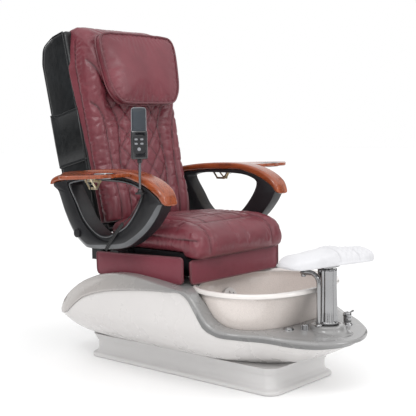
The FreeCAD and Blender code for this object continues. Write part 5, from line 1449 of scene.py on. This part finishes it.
def build_remote():
    turned("stalk_collar", ((0.0055, 0.7332), (0.0190, 0.7332), (0.0196, 0.7345), (0.0190, 0.7380),
                            (0.0150, 0.7398), (0.0112, 0.7410), (0.0098, 0.7440), (0.0090, 0.7490),
                            (0.0082, 0.7500), (0.0056, 0.7500)),
           "black_plastic", "arm_right", (-0.405, -0.080))
    levels = np.arange(0.7352, 0.8618, 0.0011)
    radii = 0.0049 + 0.0004 * np.sin(np.arange(len(levels)) * math.pi / 1.5)
    turned("gooseneck_coils", tuple(zip(radii, levels)), "smoked", "stalk",
           (-0.405, -0.080),
           ["gooseneck"], sides=28)
    turned("gooseneck_ferrule", ((0.005, 0.8500), (0.0078, 0.8500), (0.0084, 0.8512),
                                 (0.0084, 0.8605),
                                 (0.0078, 0.8618), (0.005, 0.8618)),
           "black_plastic", "stalk", (-0.405, -0.080))
    place = Matrix.Translation((-0.405, -0.080, 0.862)) @ Matrix.Rotation(math.radians(-47), 4, "Z")

    def shell_ring(half_x, half_y, radius, level):
        return at_level(rounded_box(half_x, half_y, radius, 7), level)

    outer = [(0.016, 0.006, 0.004, 0.0), (0.026, 0.0105, 0.006, 0.0006),
             (0.0300, 0.0128, 0.007, 0.003),
             (0.0306, 0.0135, 0.0075, 0.008), (0.0306, 0.0135, 0.0075, 0.050),
             (0.0306, 0.0135, 0.0075, 0.097),
             (0.0302, 0.0132, 0.0073, 0.1032), (0.0295, 0.0125, 0.0068, 0.1040),
             (0.0283, 0.0113, 0.006, 0.1040),
             (0.0276, 0.0106, 0.0055, 0.1030), (0.0276, 0.0106, 0.0055, 0.0045),
             (0.0200, 0.0070, 0.004, 0.0042)]
    piece("remote_holster", skin([shell_ring(*r) for r in outer]), MATERIALS["gloss_black"],
          "stalk",
          ["remote_cradle"], place=place, crease=40)
    body = [(0.020, 0.006, 0.004, 0.0046), (0.0255, 0.0092, 0.006, 0.0052),
            (0.0268, 0.0099, 0.0066, 0.009)]
    body += [(0.0268 - 0.0015 * math.sin(math.pi * t), 0.0099, 0.0066, 0.009 + 0.172 * t)
             for t in np.linspace(0.1, 0.95, 10)]
    body += [(0.0262, 0.0096, 0.0064, 0.1855), (0.0245, 0.0086, 0.0058, 0.1890),
             (0.0190, 0.0055, 0.004, 0.1902)]
    piece("handset_case", skin([shell_ring(*r) for r in body]), MATERIALS["slate"], "handset",
          ["handset"], place=place, crease=45)
    loop = rounded([(-0.0266, 0.0985), (0.0266, 0.0985), (0.0266, 0.1898), (-0.0266, 0.1898)],
                   (0.002, 0.002, 0.011, 0.011))
    loop = resampled(loop, 100)
    for name, depth in (("front", 0.0078), ("rear", -0.0078)):
        path = np.column_stack([loop[:, 0], np.full(100, depth), loop[:, 1]])
        piece(f"handset_edge_{name}", skin(tube_rings(np.vstack([path, path[:1]]), 0.0013, 8),
                                           caps=False),
              MATERIALS["silver_trim"], "handset", place=place)
    for name, half_x, half_z, x, z, radius, material, body_name, facing in (
            ("screen", 0.019, 0.017, 0.0, 0.136, 0.003, "gloss_black", "handset", 1),
            ("back_panel", 0.0200, 0.033, 0.0, 0.146, 0.008, "slate", "handset", -1),
            ("holster_panel", 0.0215, 0.034, 0.0, 0.056, 0.010, "black_plastic", "stalk", -1),
            ("key_up", 0.0060, 0.0035, -0.0105, 0.074, 0.0032, "silver_trim", "stalk", -1),
            ("key_down", 0.0060, 0.0035, 0.0105, 0.074, 0.0032, "silver_trim", "stalk", -1),
            ("key_left", 0.0060, 0.0035, -0.0105, 0.058, 0.0032, "silver_trim", "stalk", -1),
            ("key_right", 0.0060, 0.0035, 0.0105, 0.058, 0.0032, "silver_trim", "stalk", -1),
            ("key_round", 0.0065, 0.0065, 0.0, 0.038, 0.0062, "silver_trim", "stalk", -1)):
        face = 0.0098 if body_name == "handset" else 0.0134
        face += 0.0006 if name.startswith("key") else 0.0
        rings = []
        for grow, rise in ((0.0, -0.0008), (0.0, 0.0006), (-0.0005, 0.0011), (-0.0015, 0.0013)):
            flat = rounded_box(half_x + grow, half_z + grow, max(0.0006, radius + grow), 6)
            rings.append(np.column_stack([x + flat[:, 0],
                                          np.full(len(flat), facing * (face + rise)),
                                          z + flat[:, 1]]))
        piece(f"remote_{name}", skin(rings), MATERIALS[material], body_name,
              place=place, crease=40)


CORD_ROUTE = ((-0.393, -0.078, 0.7318), (-0.3905, -0.064, 0.712), (-0.3886, -0.042, 0.680),
              (-0.3882, -0.014, 0.650), (-0.3882, 0.014, 0.628), (-0.3882, 0.031, 0.6186))
SLEEVE_ROUTE = ((0.034, 0.616), (0.076, 0.574), (0.112, 0.534), (0.134, 0.505))


def build_cord():
    data = bpy.data.curves.new("handset_lead", "CURVE")
    data.dimensions = "3D"
    line = data.splines.new("NURBS")
    line.points.add(len(CORD_ROUTE) - 1)
    for point, place in zip(line.points, CORD_ROUTE):
        point.co = (*place, 1)
    line.order_u = 3
    line.use_endpoint_u = True
    line.resolution_u = 12
    data.bevel_depth = 0.002
    data.bevel_resolution = 4
    data.materials.append(MATERIALS["rubber"])
    lead = bpy.data.objects.new("handset_lead", data)
    scene.collection.objects.link(lead)
    settle(lead, "arm_right", ["handset_cord"])
    begin, onward = np.array(CORD_ROUTE[0]), np.array(CORD_ROUTE[1]) - np.array(CORD_ROUTE[0])
    onward /= np.linalg.norm(onward)
    path = [begin + onward * t for t in np.linspace(-0.0012, 0.014, 12)]
    radii = np.linspace(0.0042, 0.0026, 12) * (1 + 0.09 * np.cos(np.arange(12) * math.pi))
    piece("lead_relief", skin(tube_rings(path, radii, 16)), MATERIALS["rubber"], "arm_right")

    route = spline([(-0.3875, y, z) for y, z in SLEEVE_ROUTE], 64)
    ahead = np.gradient(route, axis=0)
    ahead /= np.linalg.norm(ahead, axis=1)[:, None]
    rings = []
    for k, (centre, tangent) in enumerate(zip(route, ahead)):
        across = np.array((0, -tangent[2], tangent[1]))
        rib = 1.0 if k in (0, 63) or (k // 2) % 2 else 0.90
        lift = 0.0024 if (k // 2) % 2 else 0.0016
        section = rounded_box(0.0078 * rib, lift, 0.0012, 4)
        rings.append(np.array([centre + across * a - np.array((b, 0, 0)) for a, b in section]))
    piece("cord_sleeve_ribs", skin(rings), MATERIALS["rubber"], "arm_right",
          ["cord_sleeve"],
          crease=60)


def bar(ends, wide, x, thick):
    """A flat strip between two points in y and z, with eased edges; x is its inner face."""
    a, b = (np.array(end, float) for end in ends)
    run = (b - a) / np.linalg.norm(b - a)
    side = np.array((-run[1], run[0])) * wide / 2
    flat = np.array([a - run * wide / 2 - side, b + run * wide / 2 - side,
                     b + run * wide / 2 + side,
                     a - run * wide / 2 + side])
    flat = rounded(flat, (wide * 0.45,) * 4, 6)
    centre = flat.mean(axis=0)
    return [np.column_stack([np.full(len(flat), x + thick * t), centre + (flat - centre) * k])
            for t, k in ((0.0, 0.95), (0.12, 1.0), (0.88, 1.0), (1.0, 0.95))]


def build_brackets():
    for name, sign in SIDES:
        strips = ((((0.156, 0.773), (0.244, 0.773)), 0.0095),
                  (((0.158, 0.772), (0.178, 0.745)), 0.0085),
                  (((0.242, 0.772), (0.220, 0.745)), 0.0085),
                  (((0.178, 0.7435), (0.220, 0.7435)), 0.0095),
                  (((0.178, 0.745), (0.206, 0.772)), 0.0065))
        for k, (ends, wide) in enumerate(strips):
            rings = [ring * (sign, 1, 1) for ring in bar(ends, wide, 0.3852 + 0.0002 * k, 0.003)]
            piece(f"bracket_strip_{k}_{name}", skin(rings), MATERIALS["cream_steel"], f"arm_{name}",
                  [f"tray_leaf_{name}"], crease=40)
        for part, low, high, radius, x, z in (("barrel", 0.180, 0.220, 0.0052, 0.398, 0.790),
                                              ("pin", 0.161, 0.239, 0.0026, 0.398, 0.790),
                                              ("pivot", 0.165, 0.187, 0.0024, 0.395, 0.744)):
            path = [(sign * x, y, z) for y in np.linspace(low, high, 8)]
            radii = radius * np.array((0.7, 1, 1, 1, 1, 1, 1, 0.7))
            piece(f"bracket_{part}_{name}", skin(tube_rings(path, radii, 16)),
                  MATERIALS["steel" if part != "barrel" else "cream_steel"], f"arm_{name}",
                  crease=50)
        web = [ring * (sign, 1, 1) for ring in bar(((0.186, 0.781), (0.214, 0.781)), 0.011, 0.3852,
                                                   0.0125)]
        piece(f"bracket_web_{name}", skin(web), MATERIALS["cream_steel"], f"arm_{name}",
              crease=40)


def build_bracket_rings():
    for name, sign in SIDES:
        hook = np.array((sign * 0.4245, 0.1735, 0.784))
        turn = np.linspace(0, 2 * math.pi, 40)
        ring = [hook + (sign * 0.004 * math.sin(t), 0.0105 * math.sin(t),
                        -0.0115 + 0.0115 * math.cos(t))
                for t in turn]
        piece(f"release_ring_{name}", skin(tube_rings(ring, 0.0011, 10), caps=False),
              MATERIALS["chrome"],
              f"strut_{name}")
        if sign < 0:
            low = hook + (0, 0, -0.0225)
            tail = spline([low, low + (-0.002, -0.003, -0.02), low + (0.001, -0.006, -0.045),
                           low + (0.004, -0.004, -0.066)], 30)
            piece("release_tail", skin(tube_rings(tail, 0.0016, 10)), MATERIALS["rubber"],
                  f"strut_{name}")


def bevel_mechanism():
    for name in sum(NODE_LOOKS.values(), ()):
        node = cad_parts[name]
        if not node.hide_render and name not in ("power_button",):
            modifier(node, "BEVEL", width=0.0012, segments=2, limit_method="ANGLE",
                     angle_limit=math.radians(40), harden_normals=False)
    for name, sign in SIDES:
        cap = skin(lathe(((0.002, 0.0), (0.0172, 0.0), (0.0176, 0.0012), (0.0168, 0.0045),
                          (0.0148, 0.0062),
                          (0.0100, 0.0070), (0.0090, 0.0058), (0.0005, 0.0056)), 48))
        place = Matrix.Translation((sign * 0.3855, 0.300,
                                    0.560)) @ Matrix.Rotation(sign * math.pi / 2, 4, "Y")
        piece(f"pivot_cap_{name}", cap, MATERIALS["black_plastic"], "seat",
              place=place,
              crease=40)


build_footrest()
build_taps()
build_remote()
build_cord()
build_brackets()
build_bracket_rings()
bevel_mechanism()
